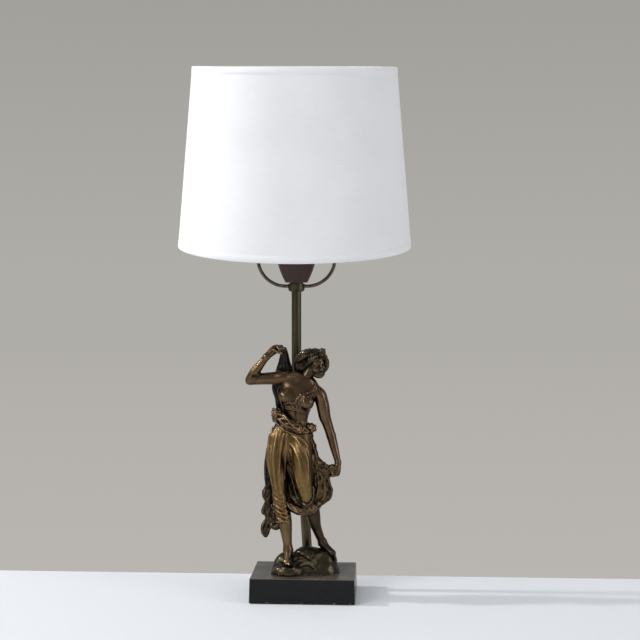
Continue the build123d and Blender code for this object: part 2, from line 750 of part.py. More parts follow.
@cache
def right_leg():
    """Bare shin and foot below the trouser hem."""
    shin = limb(
        [RIGHT_CALF + Vector(-1.2, 1, 9), RIGHT_CALF, RIGHT_CALF + Vector(1.6, -0.5, -14), RIGHT_ANKLE],
        [CALF_R * 0.9, CALF_R, CALF_R * 0.75, ANKLE_R],
    )
    heel = RIGHT_ANKLE + Vector(0, 2.5, -13)
    toes = RIGHT_ANKLE + Vector(0, -10, -12)
    instep = RIGHT_ANKLE + Vector(0, -4, -8.5)
    foot = limb([heel, instep, toes], [FOOT_R * 0.85, FOOT_R * 1.05, FOOT_R * 0.75], root=True)
    ankle = limb([RIGHT_ANKLE, heel + Vector(0, -1.5, 2)], [ANKLE_R, ANKLE_R])
    return cut(shin + ankle + foot, rock_form(0), trousers())


@cache
def left_leg():
    """Bare shin that slants back to a foot pointing down the rock."""
    shin = limb(
        [LEFT_KNEE + Vector(1, 4, -2), LEFT_CALF, LEFT_CALF + Vector(4.5, 5, -17), LEFT_ANKLE],
        [KNEE_R * 0.8, CALF_R * 1.16, CALF_R * 0.82, ANKLE_R],
    )
    instep = LEFT_ANKLE + Vector(6, -2, -7)
    toes = LEFT_ANKLE + Vector(13, -5, -15)
    foot = limb([LEFT_ANKLE, instep, toes], [ANKLE_R, FOOT_R, FOOT_R * 0.75], root=True)
    return cut(shin + foot, rock_form(0), trousers())


# ---------------------------------------------------------------- figure: clothes
@cache
def trouser_right():
    hem = RIGHT_CALF + Vector(-1.5, 0, 5)
    return limb(
        [RIGHT_HIP, RIGHT_THIGH, RIGHT_KNEE + Vector(-1, 0, 15), RIGHT_KNEE, hem],
        [THIGH_R * 1.25, THIGH_R, KNEE_R * 1.06, KNEE_R, KNEE_R * 1.12],
        tip=False,
        root=True,
    )


@cache
def trouser_left():
    tip = LEFT_KNEE + Vector(0.5, 0, -4)
    return limb(
        [LEFT_HIP, LEFT_THIGH, LEFT_KNEE + Vector(-2.6, -1, 18), LEFT_KNEE, tip],
        [THIGH_R * 1.3, THIGH_R * 1.12, KNEE_R * 1.2, KNEE_R, KNEE_R * 0.7],
        root=True,
    )


def hips_form():
    """Hips and seat, from the tops of the legs to the waist."""
    return draped(
        [
            (PELVIS + Vector(1, 0, -24), 17.0, 8.5),
            (PELVIS + Vector(0, 0, -12), 20.5, 11.5),
            (PELVIS, 20.8, 12.5),
            (PELVIS + Vector(1, 0, 10), 17.6, 11.0, 3),
            (PELVIS + Vector(3.5, -0.5, 17), 14.6, 9.8, 5),
        ]
    )


@cache
def trousers():
    """Full cloth legs, gathered under the knees, with the hips."""
    return hips_form() + trouser_right() + trouser_left()


@cache
def skirt_swag():
    """Cloth that hangs in a swag between and behind the legs."""
    swag = draped(
        [
            (spot(3, -4, 60), 9.0, 3.5),
            (spot(0, -3, 65), 16.5, 6.0),
            (spot(-2, -2.5, 82), 18.5, 7.5),
            (spot(-6, -1.5, 103), 19.0, 8.5),
            (PELVIS + Vector(-1, 0, -20), 19.0, 9.5),
        ]
    )
    return cut(swag, trousers(), left_leg(), right_leg())


@cache
def hip_sash():
    """Twisted scarf round the hips, lower in front."""
    centre = PELVIS + Vector(2.5, -0.5, 14)
    ring = extrude(oval(centre, 19.0, 12.6, 24), amount=SASH_HALF_H, both=True)
    return cut(ring, trousers(), torso_form(), back_cloak(), *rosette_balls())


def rosette_balls():
    """The three cloth rosettes on the sash, whole."""
    points = [
        PELVIS + Vector(-13.0, -8, 26),
        PELVIS + Vector(12.5, -12.5, 10),
        PELVIS + Vector(22.0, -4.0, 9.5),
    ]
    return [place(point) * Sphere(ROSETTE_R) for point in points]


def sash_rosettes():
    return Compound(children=[cut(ball, trousers(), torso_form()) for ball in rosette_balls()])


@cache
def side_drapery():
    """Bunch of cloth that the left hand holds out."""
    grip = LEFT_FIST + Vector(-2, 0, 0)
    bunch = draped(
        [
            (grip + Vector(-29, 2, 35), 6.0, 5.0, 10),
            (grip + Vector(-25.5, 1, 20), 8.5, 6.5),
            (grip + Vector(-22, 1, 10), 12.0, 7.0),
            (grip + Vector(-19.5, 1, -8), 15.0, 7.5),
            (grip + Vector(-17.5, 1, -19), 15.2, 7.5),
            (grip + Vector(-17.5, 1, -27), 13.5, 6.0),
            (grip + Vector(-19, 1, -33), 8.0, 3.5),
        ]
    )
    gathers = [grip + Vector(-13, 1, -3), grip + Vector(-6, 1, 1), grip + Vector(-1, 0, 3)]
    neck = limb(gathers, [9.0, 7.5, 5.5])
    return cut(bunch + neck, trousers(), skirt_swag(), left_leg(), left_arm())


@cache
def back_cloak():
    """Cloak that falls from the raised hand, down the back, to the right knee."""
    grip = RIGHT_FIST + Vector(8, 5, -2.5)
    cloak = draped(
        [
            (grip + Vector(0, 0, 3), 2.6, CLOTH_T * 0.7),
            (grip + Vector(-0.3, 2, -5.5), 4.8, CLOTH_T),
            (grip + Vector(-0.3, 3, -11.5), 6.3, CLOTH_T),
            (grip + Vector(-0.3, 3, -20), 8.7, CLOTH_T * 1.2),
            (grip + Vector(-0.5, 5, -37), 12.8, CLOTH_T * 1.2),
            (grip + Vector(1.5, 5, -52), 11.5, CLOTH_T * 1.2),
            (grip + Vector(3, 6, -68), 11.5, CLOTH_T * 1.2),
            (grip + Vector(-2, 6, -92), 14.5, CLOTH_T * 1.2),
            (grip + Vector(-9.5, 5, -114), 11.5, CLOTH_T * 1.2),
            (grip + Vector(-12.5, 3, -124), 8.6, CLOTH_T),
            (grip + Vector(-17.2, -1, -140), 2.6, CLOTH_T * 0.8),
        ]
    )
    return cut(cloak, torso_form(), trousers(), right_arm(), figure_head(), skirt_swag())


@cache
def tail_drapery():
    """Loose end of the cloak, which flies out beside the right knee."""
    top = RIGHT_KNEE + Vector(-13.2, 14, 8)
    body = draped(
        [
            (top, 2.6, 2.3),
            (top + Vector(1, -1, -5), 4.4, 3.5),
            (top + Vector(0.8, -1, -14), 5.4, 3.8),
            (top + Vector(1.2, -1, -20), 4.6, 3.8),
            (top + Vector(0.8, -1, -29), 6.2, 4.0),
            (top + Vector(2.4, -2, -38), 5.8, 4.0),
            (top + Vector(2.4, -3, -45), 4.6, 3.0),
        ]
    )
    lobe_root = top + Vector(0, -2, -36)
    lobe = limb(
        [lobe_root, lobe_root + Vector(-3.2, -1, -6), lobe_root + Vector(-2.4, -2, -14)],
        [3.2, 3.2, 2.6],
    )
    tie = limb([top + Vector(3, -3, -38), RIGHT_CALF + Vector(-3, 4, -2)], [5.5, 6.0])
    return cut(body + lobe + tie, back_cloak(), right_leg(), trouser_right())


# ---------------------------------------------------------------- figure: body, arms and head
@cache
def torso_form():
    """Body from the hips to the neck, leaning over the raised right side."""
    trunk = draped(
        [
            (PELVIS + Vector(1.5, 0, 8), 15.5, 9.8, 2),
            (WAIST, 13.2, 9.3, 6),
            (RIBS, 16.6, 10.5, 12),
            (CHEST, 19.0, 11.2, 20),
            (SHOULDERS, 18.0, 8.6, 25),
            (NECK, 8.5, 6.4, 28),
        ]
    )
    bust_r = 6.6
    for side, drop in ((-1, 2.5), (1, -2.5)):
        breast = CHEST + Vector(side * 8.6 - 1.0, -7.2, drop - 3)
        trunk += place(breast) * Sphere(bust_r)
    return trunk


def torso():
    return cut(torso_form(), trousers())


@cache
def right_arm():
    """Raised arm: level upper arm, forearm turned up and back to the fist."""
    upper = limb(
        [RIGHT_SHOULDER, (RIGHT_SHOULDER + RIGHT_ELBOW) * 0.5, RIGHT_ELBOW],
        [UPPER_ARM_R * 1.05, UPPER_ARM_R, ELBOW_R],
        root=True,
    )
    belly = RIGHT_ELBOW * 0.65 + RIGHT_WRIST * 0.35 + Vector(-1.2, 0, 1)
    lower = limb(
        [RIGHT_ELBOW, belly, RIGHT_WRIST],
        [ELBOW_R * 0.95, FOREARM_R, WRIST_R],
    )
    hand = limb(
        [RIGHT_WRIST, RIGHT_FIST, RIGHT_FIST + Vector(6.5, 4, -3)],
        [WRIST_R, FIST_R * 1.15, FIST_R * 0.8],
    )
    return cut(upper + lower + hand, torso_form())


@cache
def left_arm():
    """Lowered arm, slightly bent, with the fist on the side drapery."""
    upper = limb(
        [LEFT_SHOULDER + Vector(-5.5, 0, 4), LEFT_SHOULDER, LEFT_BICEP, LEFT_ELBOW],
        [UPPER_ARM_R * 1.15, UPPER_ARM_R * 1.15, UPPER_ARM_R, ELBOW_R],
        root=True,
    )
    lower = limb(
        [LEFT_ELBOW, LEFT_ELBOW * 0.6 + LEFT_WRIST * 0.4, LEFT_WRIST],
        [ELBOW_R * 0.97, FOREARM_R, WRIST_R],
    )
    hand = limb([LEFT_WRIST, LEFT_FIST + Vector(0.5, 0, 4), LEFT_FIST], [WRIST_R, FIST_R, FIST_R])
    return cut(upper + lower + hand, torso_form())


def head_form():
    return egg(HEAD, HEAD_R, HEAD_HALF_H, lean=-HEAD_TURN)


@cache
def figure_head():
    throat = [NECK + Vector(-1.5, 0, -4), NECK + Vector(3, 0, 4), HEAD + Vector(-1, 1, -2)]
    neck = limb(throat, [NECK_R * 1.3, NECK_R * 1.05, NECK_R * 0.95], tip=False)
    return cut(neck + head_form(), torso_form())


@cache
def hair_form():
    """Hair swept back over the crown into a roll and a knot behind the neck."""
    crown = egg(HEAD + Vector(-0.8, 1.5, 1.0), HEAD_R * 1.06, HEAD_HALF_H, lean=-HEAD_TURN)
    roll = egg(HEAD + Vector(-12.5, 2, 5.5), 4.6, 9.5, lean=66)
    knot = egg(HEAD + Vector(-13.5, 5, -4.5), 6.4, 8.8)
    return crown + roll + knot


@cache
def figure_hair():
    block = Box(6 * HEAD_R, 2 * HEAD_R, 2 * HEAD_HALF_H)
    face_side = place(HEAD) * Rot(0, 0, 40) * Pos(0, -HEAD_R, -5) * block
    return cut(hair_form() - face_side, figure_head(), torso_form(), right_arm(), back_cloak())


def hair_wreath():
    """Ring of leaves round the crown."""
    ring = place(HEAD + Vector(-2.2, 0.5, 8)) * Rot(0, 14, 0) * Torus(HEAD_R * 0.92, WREATH_R)
    return cut(ring, figure_head(), figure_hair())


# ---------------------------------------------------------------- build
PIECES = [
    plinth,
    plinth_felt,
    cable_inlet_bush,
    figure_screws,
    figure_washers,
    stem_tube,
    stem_collar,
    stem_washer,
    stem_nut,
    hub,
    hub_grub_screw,
    harp,
    holder_seat_washer,
    holder_cup,
    holder_nut,
    holder_sleeve,
    holder_insert,
    holder_screw_shell,
    terminal_screws,
    centre_contact,
    bulb_contact,
    bulb_insulator,
    bulb_cap,
    bulb_glass,
    bulb_stem,
    bulb_filament,
    harp_saddle,
    tilt_fork,
    tilt_screw,
    tilt_thumb_nut,
    tilt_tongue,
    finial,
    shade_cloth,
    shade_top_ring,
    shade_bottom_ring,
    shade_spider,
    rock_base,
    right_leg,
    left_leg,
    trousers,
    skirt_swag,
    torso,
    hip_sash,
    sash_rosettes,
    side_drapery,
    back_cloak,
    tail_drapery,
    right_arm,
    left_arm,
    figure_head,
    figure_hair,
    hair_wreath,
]

os.makedirs("parts", exist_ok=True)
for piece in PIECES:
    export_step(piece(), f"parts/{piece.__name__}.step")
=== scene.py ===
# %% [markdown]
# # Dressing a figural table lamp
# The lamp's pieces, joints and sizes come from a finished mechanical model. This lesson gives that
# model its looks: a cast bronze figure in wind-blown cloth, a lacquered plinth, a cloth shade.
# Everything is in metres, in the model's own frame, with the table at z = 0.

# %% Load the frame
import json
import math
import time

import bpy
import numpy as np
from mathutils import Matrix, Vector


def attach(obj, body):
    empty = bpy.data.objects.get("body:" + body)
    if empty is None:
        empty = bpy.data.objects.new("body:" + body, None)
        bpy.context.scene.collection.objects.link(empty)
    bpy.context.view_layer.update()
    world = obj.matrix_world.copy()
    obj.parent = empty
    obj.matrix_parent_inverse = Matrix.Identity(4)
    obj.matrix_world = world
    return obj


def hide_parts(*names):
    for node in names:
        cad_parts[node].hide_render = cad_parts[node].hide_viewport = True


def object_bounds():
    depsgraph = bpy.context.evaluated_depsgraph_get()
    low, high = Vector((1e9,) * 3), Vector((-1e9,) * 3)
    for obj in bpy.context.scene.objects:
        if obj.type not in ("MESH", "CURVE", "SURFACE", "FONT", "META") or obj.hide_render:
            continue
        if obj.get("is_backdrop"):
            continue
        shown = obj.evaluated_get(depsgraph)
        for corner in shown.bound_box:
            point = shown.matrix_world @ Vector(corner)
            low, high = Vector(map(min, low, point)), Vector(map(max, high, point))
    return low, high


started = time.time()
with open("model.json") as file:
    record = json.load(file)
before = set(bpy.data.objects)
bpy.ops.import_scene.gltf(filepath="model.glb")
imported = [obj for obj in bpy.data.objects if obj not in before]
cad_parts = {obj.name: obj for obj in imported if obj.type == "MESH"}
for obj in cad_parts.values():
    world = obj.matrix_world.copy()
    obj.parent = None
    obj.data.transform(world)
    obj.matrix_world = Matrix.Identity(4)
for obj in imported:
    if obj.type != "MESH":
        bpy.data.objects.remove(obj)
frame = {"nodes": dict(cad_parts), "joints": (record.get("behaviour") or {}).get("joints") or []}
nodes = frame["nodes"]
cad_box = [list(corner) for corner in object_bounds()]

# %% [markdown]
# The viewer stands a little to the right of the lamp and looks down on it by two degrees. A long
# lens from 1.2 m keeps the shade's sides nearly straight, as a product photographer would want.

# %% The camera
MM = 0.001
VIEW_FROM = (81.7 * MM, -1200 * MM, 327 * MM)
VIEW_DOWN = 2.20  # degrees
VIEW_LEFT = 3.13  # degrees
LENS = 66.9
FILM_WIDTH = 36.0
camera = bpy.data.objects.new("camera", bpy.data.cameras.new("camera"))
camera.data.lens = LENS
camera.data.sensor_width = FILM_WIDTH
camera.location = VIEW_FROM
camera.rotation_euler = (math.radians(90 - VIEW_DOWN), 0, math.radians(VIEW_LEFT))
bpy.context.collection.objects.link(camera)
bpy.context.scene.camera = camera
bpy.context.scene.view_settings.view_transform = "Standard"
print("camera at", [round(v, 3) for v in camera.location])

# %% [markdown]
# Every finish is a node tree that reads Object coordinates, so that it stays on the piece when the
# piece moves. The helpers below keep those trees short: one feeds a socket, one makes a node and
# wires it up, one makes a material whose shader is ready to be fed, and the rest are the few
# kinds of node that every finish here needs.


# %% Helpers for node trees
def feed(tree, socket, value):
    """Wires another node's socket in, or sets a plain value."""
    if isinstance(value, bpy.types.NodeSocket):
        tree.links.new(value, socket)
    else:
        socket.default_value = value


def add_node(tree, kind, inputs=None, **settings):
    """A node with its settings, and its inputs given as values or as sockets to wire in."""
    made = tree.nodes.new(kind)
    for name, value in settings.items():
        setattr(made, name, value)
    for name, value in (inputs or {}).items():
        feed(tree, made.inputs[name], value)
    return made


def new_material(name, **shader_values):
    """A material with a principled shader, whose plain values are set on the shader itself."""
    made = bpy.data.materials.new(name)
    made.use_nodes = True
    shader = made.node_tree.nodes["Principled BSDF"]
    for socket, value in shader_values.items():
        shader.inputs[socket.replace("_", " ")].default_value = value
    return made, made.node_tree, shader


def object_place(tree):
    """Where a point is on its piece, in metres."""
    return add_node(tree, "ShaderNodeTexCoord").outputs["Object"]


def noise(tree, place, size, detail=3.0, rough=0.55, stretch=(1, 1, 1)):
    """Cloudy noise whose patches are about size metres across."""
    turned = add_node(tree, "ShaderNodeMapping", {"Vector": place, "Scale": stretch})
    made = add_node(
        tree,
        "ShaderNodeTexNoise",
        {"Vector": turned.outputs[0], "Scale": 1 / size, "Detail": detail, "Roughness": rough},
    )
    return made.outputs["Fac"]


def ramp(tree, value, stops):
    """A colour ramp from (place, colour) stops."""
    made = add_node(tree, "ShaderNodeValToRGB", {"Fac": value})
    band = made.color_ramp
    while len(band.elements) < len(stops):
        band.elements.new(0.5)
    for element, (place, colour) in zip(band.elements, stops):
        element.position = place
        element.color = (*colour, 1)
    return made.outputs["Color"]


def grey(tree, value, stops):
    """A ramp of plain numbers."""
    return ramp(tree, value, [(place, (level,) * 3) for place, level in stops])


def arith(tree, kind, a, b=0.0):
    """One step of arithmetic on two numbers or sockets."""
    return add_node(tree, "ShaderNodeMath", {0: a, 1: b}, operation=kind).outputs[0]


def blend_colours(tree, share, a, b, kind="MIX"):
    """From colour a to colour b as the share goes from 0 to 1."""
    made = add_node(tree, "ShaderNodeMix", {"Factor": share}, data_type="RGBA", blend_type=kind)
    for number, colour in ((6, a), (7, b)):
        is_socket = isinstance(colour, bpy.types.NodeSocket)
        feed(tree, made.inputs[number], colour if is_socket else (*colour, 1))
    return made.outputs[2]


def bump(tree, shader, height, depth, strength=1.0):
    """Fine relief of a surface; depth is in metres."""
    made = add_node(
        tree, "ShaderNodeBump", {"Height": height, "Distance": depth, "Strength": strength}
    )
    tree.links.new(made.outputs["Normal"], shader.inputs["Normal"])


print("node helpers ready")

# %% [markdown]
# The stage is a pale table top under a plain wall. The table ends a hand's breadth behind the lamp,
# and past that line the floor takes the wall's colour. The floor shows it only to rays from the
# camera, off polished metal or through glass, and the world only to the camera's own, so the
# wall's colour doesn't light the lamp.

# %% The table
TABLE_COLOUR = (0.83, 0.85, 0.88)
# painted light: the wall is lighter low down and darker higher up, as the light falls off
WALL_LOW = (0.485, 0.462, 0.435)
WALL_MIDDLE = (0.432, 0.418, 0.394)
WALL_HIGH = (0.352, 0.341, 0.313)
TABLE_BACK = 82 * MM
FLOOR_HALF = 4.0


def seen_directly(tree):
    """1 for rays from the camera or off a mirror or through glass, 0 for rays that light things."""
    path = add_node(tree, "ShaderNodeLightPath")
    mirrored = arith(tree, "MAXIMUM", path.outputs["Is Camera Ray"], path.outputs["Is Glossy Ray"])
    return arith(tree, "MAXIMUM", mirrored, path.outputs["Is Transmission Ray"])


def floor_material():
    made, tree, shader = new_material("table_top", Roughness=0.75, Specular_IOR_Level=0.08)
    place = object_place(tree)
    speckle = grey(tree, noise(tree, place, 0.004), [(0.3, 0.97), (0.7, 1.0)])
    colour = blend_colours(tree, 1.0, TABLE_COLOUR, speckle, "MULTIPLY")
    tree.links.new(colour, shader.inputs["Base Color"])
    depth = add_node(tree, "ShaderNodeSeparateXYZ", {"Vector": place}).outputs["Y"]
    # painted light: the wall's colour past the table is lighter near it and darker further off
    fade = arith(tree, "POWER", arith(tree, "DIVIDE", depth, FLOOR_HALF), 0.5)
    wall_colour = ramp(tree, fade, [(0.15, WALL_LOW), (1.0, WALL_MIDDLE)])
    wall = add_node(tree, "ShaderNodeEmission", {"Color": wall_colour, "Strength": 1.0})
    behind = arith(tree, "GREATER_THAN", depth, TABLE_BACK)
    share = arith(tree, "MULTIPLY", behind, seen_directly(tree))
    mix = add_node(tree, "ShaderNodeMixShader", {"Fac": share})
    tree.links.new(shader.outputs[0], mix.inputs[1])
    tree.links.new(wall.outputs[0], mix.inputs[2])
    tree.links.new(mix.outputs[0], tree.nodes["Material Output"].inputs["Surface"])
    return made


floor_mesh = bpy.data.meshes.new("floor")
corners = [(-1, -1), (1, -1), (1, 1), (-1, 1)]
floor_verts = [(x * FLOOR_HALF, y * FLOOR_HALF, 0) for x, y in corners]
floor_mesh.from_pydata(floor_verts, [], [(0, 1, 2, 3)])
floor_mesh.materials.append(floor_material())
floor = bpy.data.objects.new("floor", floor_mesh)
bpy.context.collection.objects.link(floor)
floor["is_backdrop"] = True
print("floor:", 2 * FLOOR_HALF, "m wide, wall's colour from", TABLE_BACK, "m behind the middle")

# %% The wall and the sky
SKY_COLOUR = (0.95, 0.97, 1, 1)
WORLD_LIGHT = 0.40
world = bpy.data.worlds.new("studio")
bpy.context.scene.world = world
world.use_nodes = True
sky = world.node_tree
light_back = add_node(sky, "ShaderNodeBackground", {"Color": SKY_COLOUR, "Strength": WORLD_LIGHT})
ray_way = add_node(sky, "ShaderNodeTexCoord").outputs["Generated"]
way_up = add_node(sky, "ShaderNodeSeparateXYZ", {"Vector": ray_way})
# painted light: the wall seen in the sky darkens towards the top
wall_fade = ramp(sky, way_up.outputs["Z"], [(0.0, WALL_MIDDLE), (0.26, WALL_HIGH)])
seen_back = add_node(sky, "ShaderNodeBackground", {"Color": wall_fade, "Strength": 1.0})
camera_ray = add_node(sky, "ShaderNodeLightPath").outputs["Is Camera Ray"]
sky_mix = add_node(sky, "ShaderNodeMixShader", {"Fac": camera_ray})
sky.links.new(light_back.outputs[0], sky_mix.inputs[1])
sky.links.new(seen_back.outputs[0], sky_mix.inputs[2])
sky.links.new(sky_mix.outputs[0], sky.nodes["World Output"].inputs["Surface"])
print("world light", WORLD_LIGHT)


# %% [markdown]
# The light is that of a bright studio: a broad light at the front left, a small one far to the
# left that lays the lamp's shadow along the table, and weak ones from the right and above.


# %% The lights
def soft_lamp(name, place, size, power):
    """A rectangular light that points at the lamp's middle."""
    lamp = bpy.data.objects.new(name, bpy.data.lights.new(name, "AREA"))
    lamp.data.shape = "RECTANGLE"
    lamp.data.size, lamp.data.size_y = size
    lamp.data.energy = power
    lamp.location = place
    way = np.array(LAMP_MIDDLE) - np.array(place)
    flat = math.hypot(way[0], way[1])
    lamp.rotation_euler = (math.atan2(flat, -way[2]), 0, math.atan2(-way[0], way[1]))
    bpy.context.collection.objects.link(lamp)


LAMP_MIDDLE = (0, 0, 0.28)
LIGHTS = {  # each one's place, size and power in watts
    "key_light": ((-1.47, -1.47, 1.25), (0.9, 1.1), 19.5),
    "side_light": ((-2.1, 0.02, 1.62), (0.10, 0.10), 27),
    "right_light": ((1.8, -0.7, 0.8), (0.5, 1.2), 9),
    "top_light": ((-0.3, -0.5, 2.1), (0.8, 0.8), 5.5),
}
for light, (place, size, power) in LIGHTS.items():
    soft_lamp(light, place, size, power)
print("lights:", ", ".join(LIGHTS))

# %% [markdown]
# ## Modelling a casting
# A cast figure has no flat faces and no seams: it was modelled in wax, by adding lumps and rolls
# and smoothing them into each other. Distance fields do just that. Each form below is a
# function that says how far a point lies outside the form, in millimetres, and joining two
# forms is a soft minimum of the two. The points are arrays, so a function answers for many.


# %% Forms as distances
FAR = 9.0  # the plain distance given to points that are well away from a small form
FARTHEST = 99.0  # where a limb's distance starts, before its rolls bring it down


def at(x, y, z):
    return np.array([x, y, z], np.float32)


def nothing(p):
    """No form yet: every point is far from it."""
    return np.full(len(p), FAR, np.float32)


def ball(p, middle, radius):
    return np.linalg.norm(p - middle, axis=1) - radius


def oval(p, middle, radii, axes=None):
    """An egg with three radii; axes holds its three directions as columns."""
    q = p - middle
    if axes is not None:
        q = q @ axes
    radii = np.asarray(radii, np.float32)
    near = np.linalg.norm(q / radii, axis=1)
    far = np.linalg.norm(q / radii**2, axis=1) + 1e-6
    return near * (near - 1) / far


def roll(p, a, b, ra, rb):
    """A straight roll of clay from a to b, of radius ra at one end and rb at the other."""
    way = b - a
    share = np.clip(((p - a) @ way) / max(float(way @ way), 1e-6), 0, 1)
    return np.linalg.norm(p - a - share[:, None] * way, axis=1) - (ra + share * (rb - ra))


def join(a, b, soft):
    """Both forms, with a fillet of about soft millimetres."""
    meet = np.maximum(soft - np.abs(a - b), 0) / soft
    return np.minimum(a, b) - meet * meet * soft * 0.25


def cut_out(a, b, soft):
    """The first form with the second one pressed into it."""
    return -join(-a, b, soft)


def smooth_path(points, steps=5):
    """A rounded path through given points."""
    points = np.asarray(points, np.float32)
    ends = np.vstack([2 * points[:1] - points[1:2], points, 2 * points[-1:] - points[-2:-1]])
    path = []
    for i in range(1, len(ends) - 2):
        before, a, b, after = ends[i - 1 : i + 3]
        for t in np.arange(steps) / steps:
            bend = 2 * a + (b - before) * t + (2 * before - 5 * a + 4 * b - after) * t * t
            path.append(0.5 * (bend + (3 * a - before - 3 * b + after) * t**3))
    path.append(points[-1])
    return np.array(path, np.float32)


def limb(p, points, radii):
    """A rounded, tapering limb through its joints, with a radius at each."""
    joints = np.column_stack([np.array(points), radii])
    path = smooth_path(joints, 4)
    form = np.full(len(p), FARTHEST, np.float32)
    for a, b in zip(path[:-1], path[1:]):
        form = np.minimum(form, roll(p, a[:3], b[:3], a[3], b[3]))
    return form


BEAD_REACH = 4
BEAD_FULLNESS = 0.7  # below 1, a bead keeps its thickness over more of its length


def bead(p, path, thick, thin=None):
    """A roll laid along a path, which may taper at both ends; points beyond its reach are FAR."""
    thin = thick if thin is None else thin
    taper = np.sin(np.linspace(0, math.pi, len(path))) ** BEAD_FULLNESS
    radii = thin + (thick - thin) * taper
    form = nothing(p)
    reach = max(thick, thin) + BEAD_REACH
    near = ((p > path.min(0) - reach) & (p < path.max(0) + reach)).all(1)
    q = p[near]
    best = nothing(q)
    for i in range(len(path) - 1):
        best = np.minimum(best, roll(q, path[i], path[i + 1], radii[i], radii[i + 1]))
    form[near] = best
    return form


print("forms: ball, oval, roll, limb, bead and their joints")


# %% [markdown]
# Trunks, skirts and cloaks are easier to give as a stack of level ovals, which the eye reads off
# front and side views. Between the levels the sizes follow a smooth curve. A fold is then a
# small push in or out that depends on the angle round the stack: rounded crests with narrow
# valleys between them, as real cloth has.


# %% Stacks and folds
def through(z, knots, values):
    """A smooth curve through the values at the knots, which rise."""
    knots = np.asarray(knots, np.float32)
    values = np.asarray(values, np.float32)
    slopes = np.gradient(values, knots)
    z = np.clip(z, knots[0], knots[-1])
    i = np.clip(np.searchsorted(knots, z) - 1, 0, len(knots) - 2)
    gap = knots[i + 1] - knots[i]
    t = (z - knots[i]) / gap
    a, b = values[i], values[i + 1]
    rise = slopes[i] * gap * (t**3 - 2 * t**2 + t) + slopes[i + 1] * gap * (t**3 - t**2)
    return a * (2 * t**3 - 3 * t**2 + 1) + b * (3 * t**2 - 2 * t**3) + rise


def stack(p, levels, lean=0.0, round_end=3.0, fold=None):
    """A form through level ovals (z, x, y, half width, half depth); fold(angle, z) swells it."""
    levels = np.array(sorted(levels), np.float32)
    knots = levels[:, 0]
    x, y, z = p[:, 0], p[:, 1], p[:, 2]
    middle = through(z, knots, levels[:, 1])
    z = z + lean * (x - middle)
    cx, cy, rx, ry = (through(z, knots, levels[:, k]) for k in (1, 2, 3, 4))
    u, v = x - cx, y - cy
    near = np.hypot(u / rx, v / ry)
    far = np.hypot(u / rx**2, v / ry**2) + 1e-6
    form = near * (near - 1) / far
    if fold is not None:
        form = form - fold(np.arctan2(v / ry, u / rx), z)
    form = cut_out(form, z - knots[0], round_end)
    return cut_out(form, knots[-1] - z, round_end)


def crests(angle):
    """Rounded crests with narrow valleys, from -0.64 to 0.36."""
    return np.abs(np.cos(angle)) - 0.64


def clouds(p, size):
    """Slow, even unevenness between about -1 and 1."""
    q = p / size
    a = np.sin(q[:, 0] * 1.7 + 1.3 * np.sin(q[:, 1] * 1.1 + q[:, 2] * 0.7))
    b = np.sin(q[:, 1] * 1.9 + 1.1 * np.sin(q[:, 2] * 1.3 - q[:, 0] * 0.9) + 2.0)
    c = np.sin(q[:, 2] * 1.5 + 1.2 * np.sin(q[:, 0] * 1.2 + q[:, 1] * 0.8) + 4.0)
    return (a + b + c) / 3


DEPTHS = np.arange(-34.0, 12.0, 0.4, dtype=np.float32)
DEPTH_BESIDE = -4.0  # for a point that the form doesn't reach


def on_front(form, line):
    """A rounded path through a line of (x, z) points, laid on the front of a form."""
    placed = []
    for x, z in line:
        column = np.stack([np.full_like(DEPTHS, x), DEPTHS, np.full_like(DEPTHS, z)], 1)
        inside = np.nonzero(form(column) < 0)[0]
        placed.append((x, DEPTHS[inside[0]] if len(inside) else DEPTH_BESIDE, z))
    return smooth_path(placed)


def lay(form, p, paths, soft, thick, thin=None):
    """Lays a bead along each path, and smooths it in."""
    for path in paths:
        form = join(form, bead(p, path, thick, thin), soft)
    return form


print("stacks and folds ready")

# %% [markdown]
# A form is turned into a mesh by looking at it on a fine grid. Where the distance changes sign
# between two neighbours, the skin passes between them, and each grid cell that the skin crosses
# gets one vertex. Neighbouring vertices are joined into squares. To save work, a coarse grid is
# looked at first and only cells near the skin are refined, and each vertex then slides along the
# form's slope until it lies exactly on the skin.

# %% From form to mesh
GRAIN = 0.56
COARSE = 4
HALF_DIAGONAL = 0.87  # of a cube, in sides
SPARE = 1.6  # added because a form's distances are not exact
SLIDES = 2
LONGEST_SLIDE = 0.45  # in grid steps
LEAST_RISE = 0.05


def sample(form, low, counts, step):
    """Distances on a plain grid."""
    grid = np.stack(np.meshgrid(*[np.arange(n) for n in counts], indexing="ij"), -1)
    points = (low + grid.reshape(-1, 3) * step).astype(np.float32)
    return form(points).reshape(counts)


def fine_grid(form, low, high, step):
    """Distances on a fine grid, worked out exactly only near the skin."""
    block = step * COARSE
    counts = np.ceil((high - low) / block).astype(int) + 1
    coarse = sample(form, low + block / 2, counts, block)
    near = np.abs(coarse) < block * HALF_DIAGONAL + SPARE
    values = coarse.repeat(COARSE, 0).repeat(COARSE, 1).repeat(COARSE, 2)
    where = near.repeat(COARSE, 0).repeat(COARSE, 1).repeat(COARSE, 2)
    spots = np.argwhere(where)
    values[where] = form((low + (spots + 0.5) * step).astype(np.float32))
    for axis in range(3):
        layers = np.moveaxis(values, axis, 0)
        layers[0] = FAR
        layers[-1] = FAR
    return values


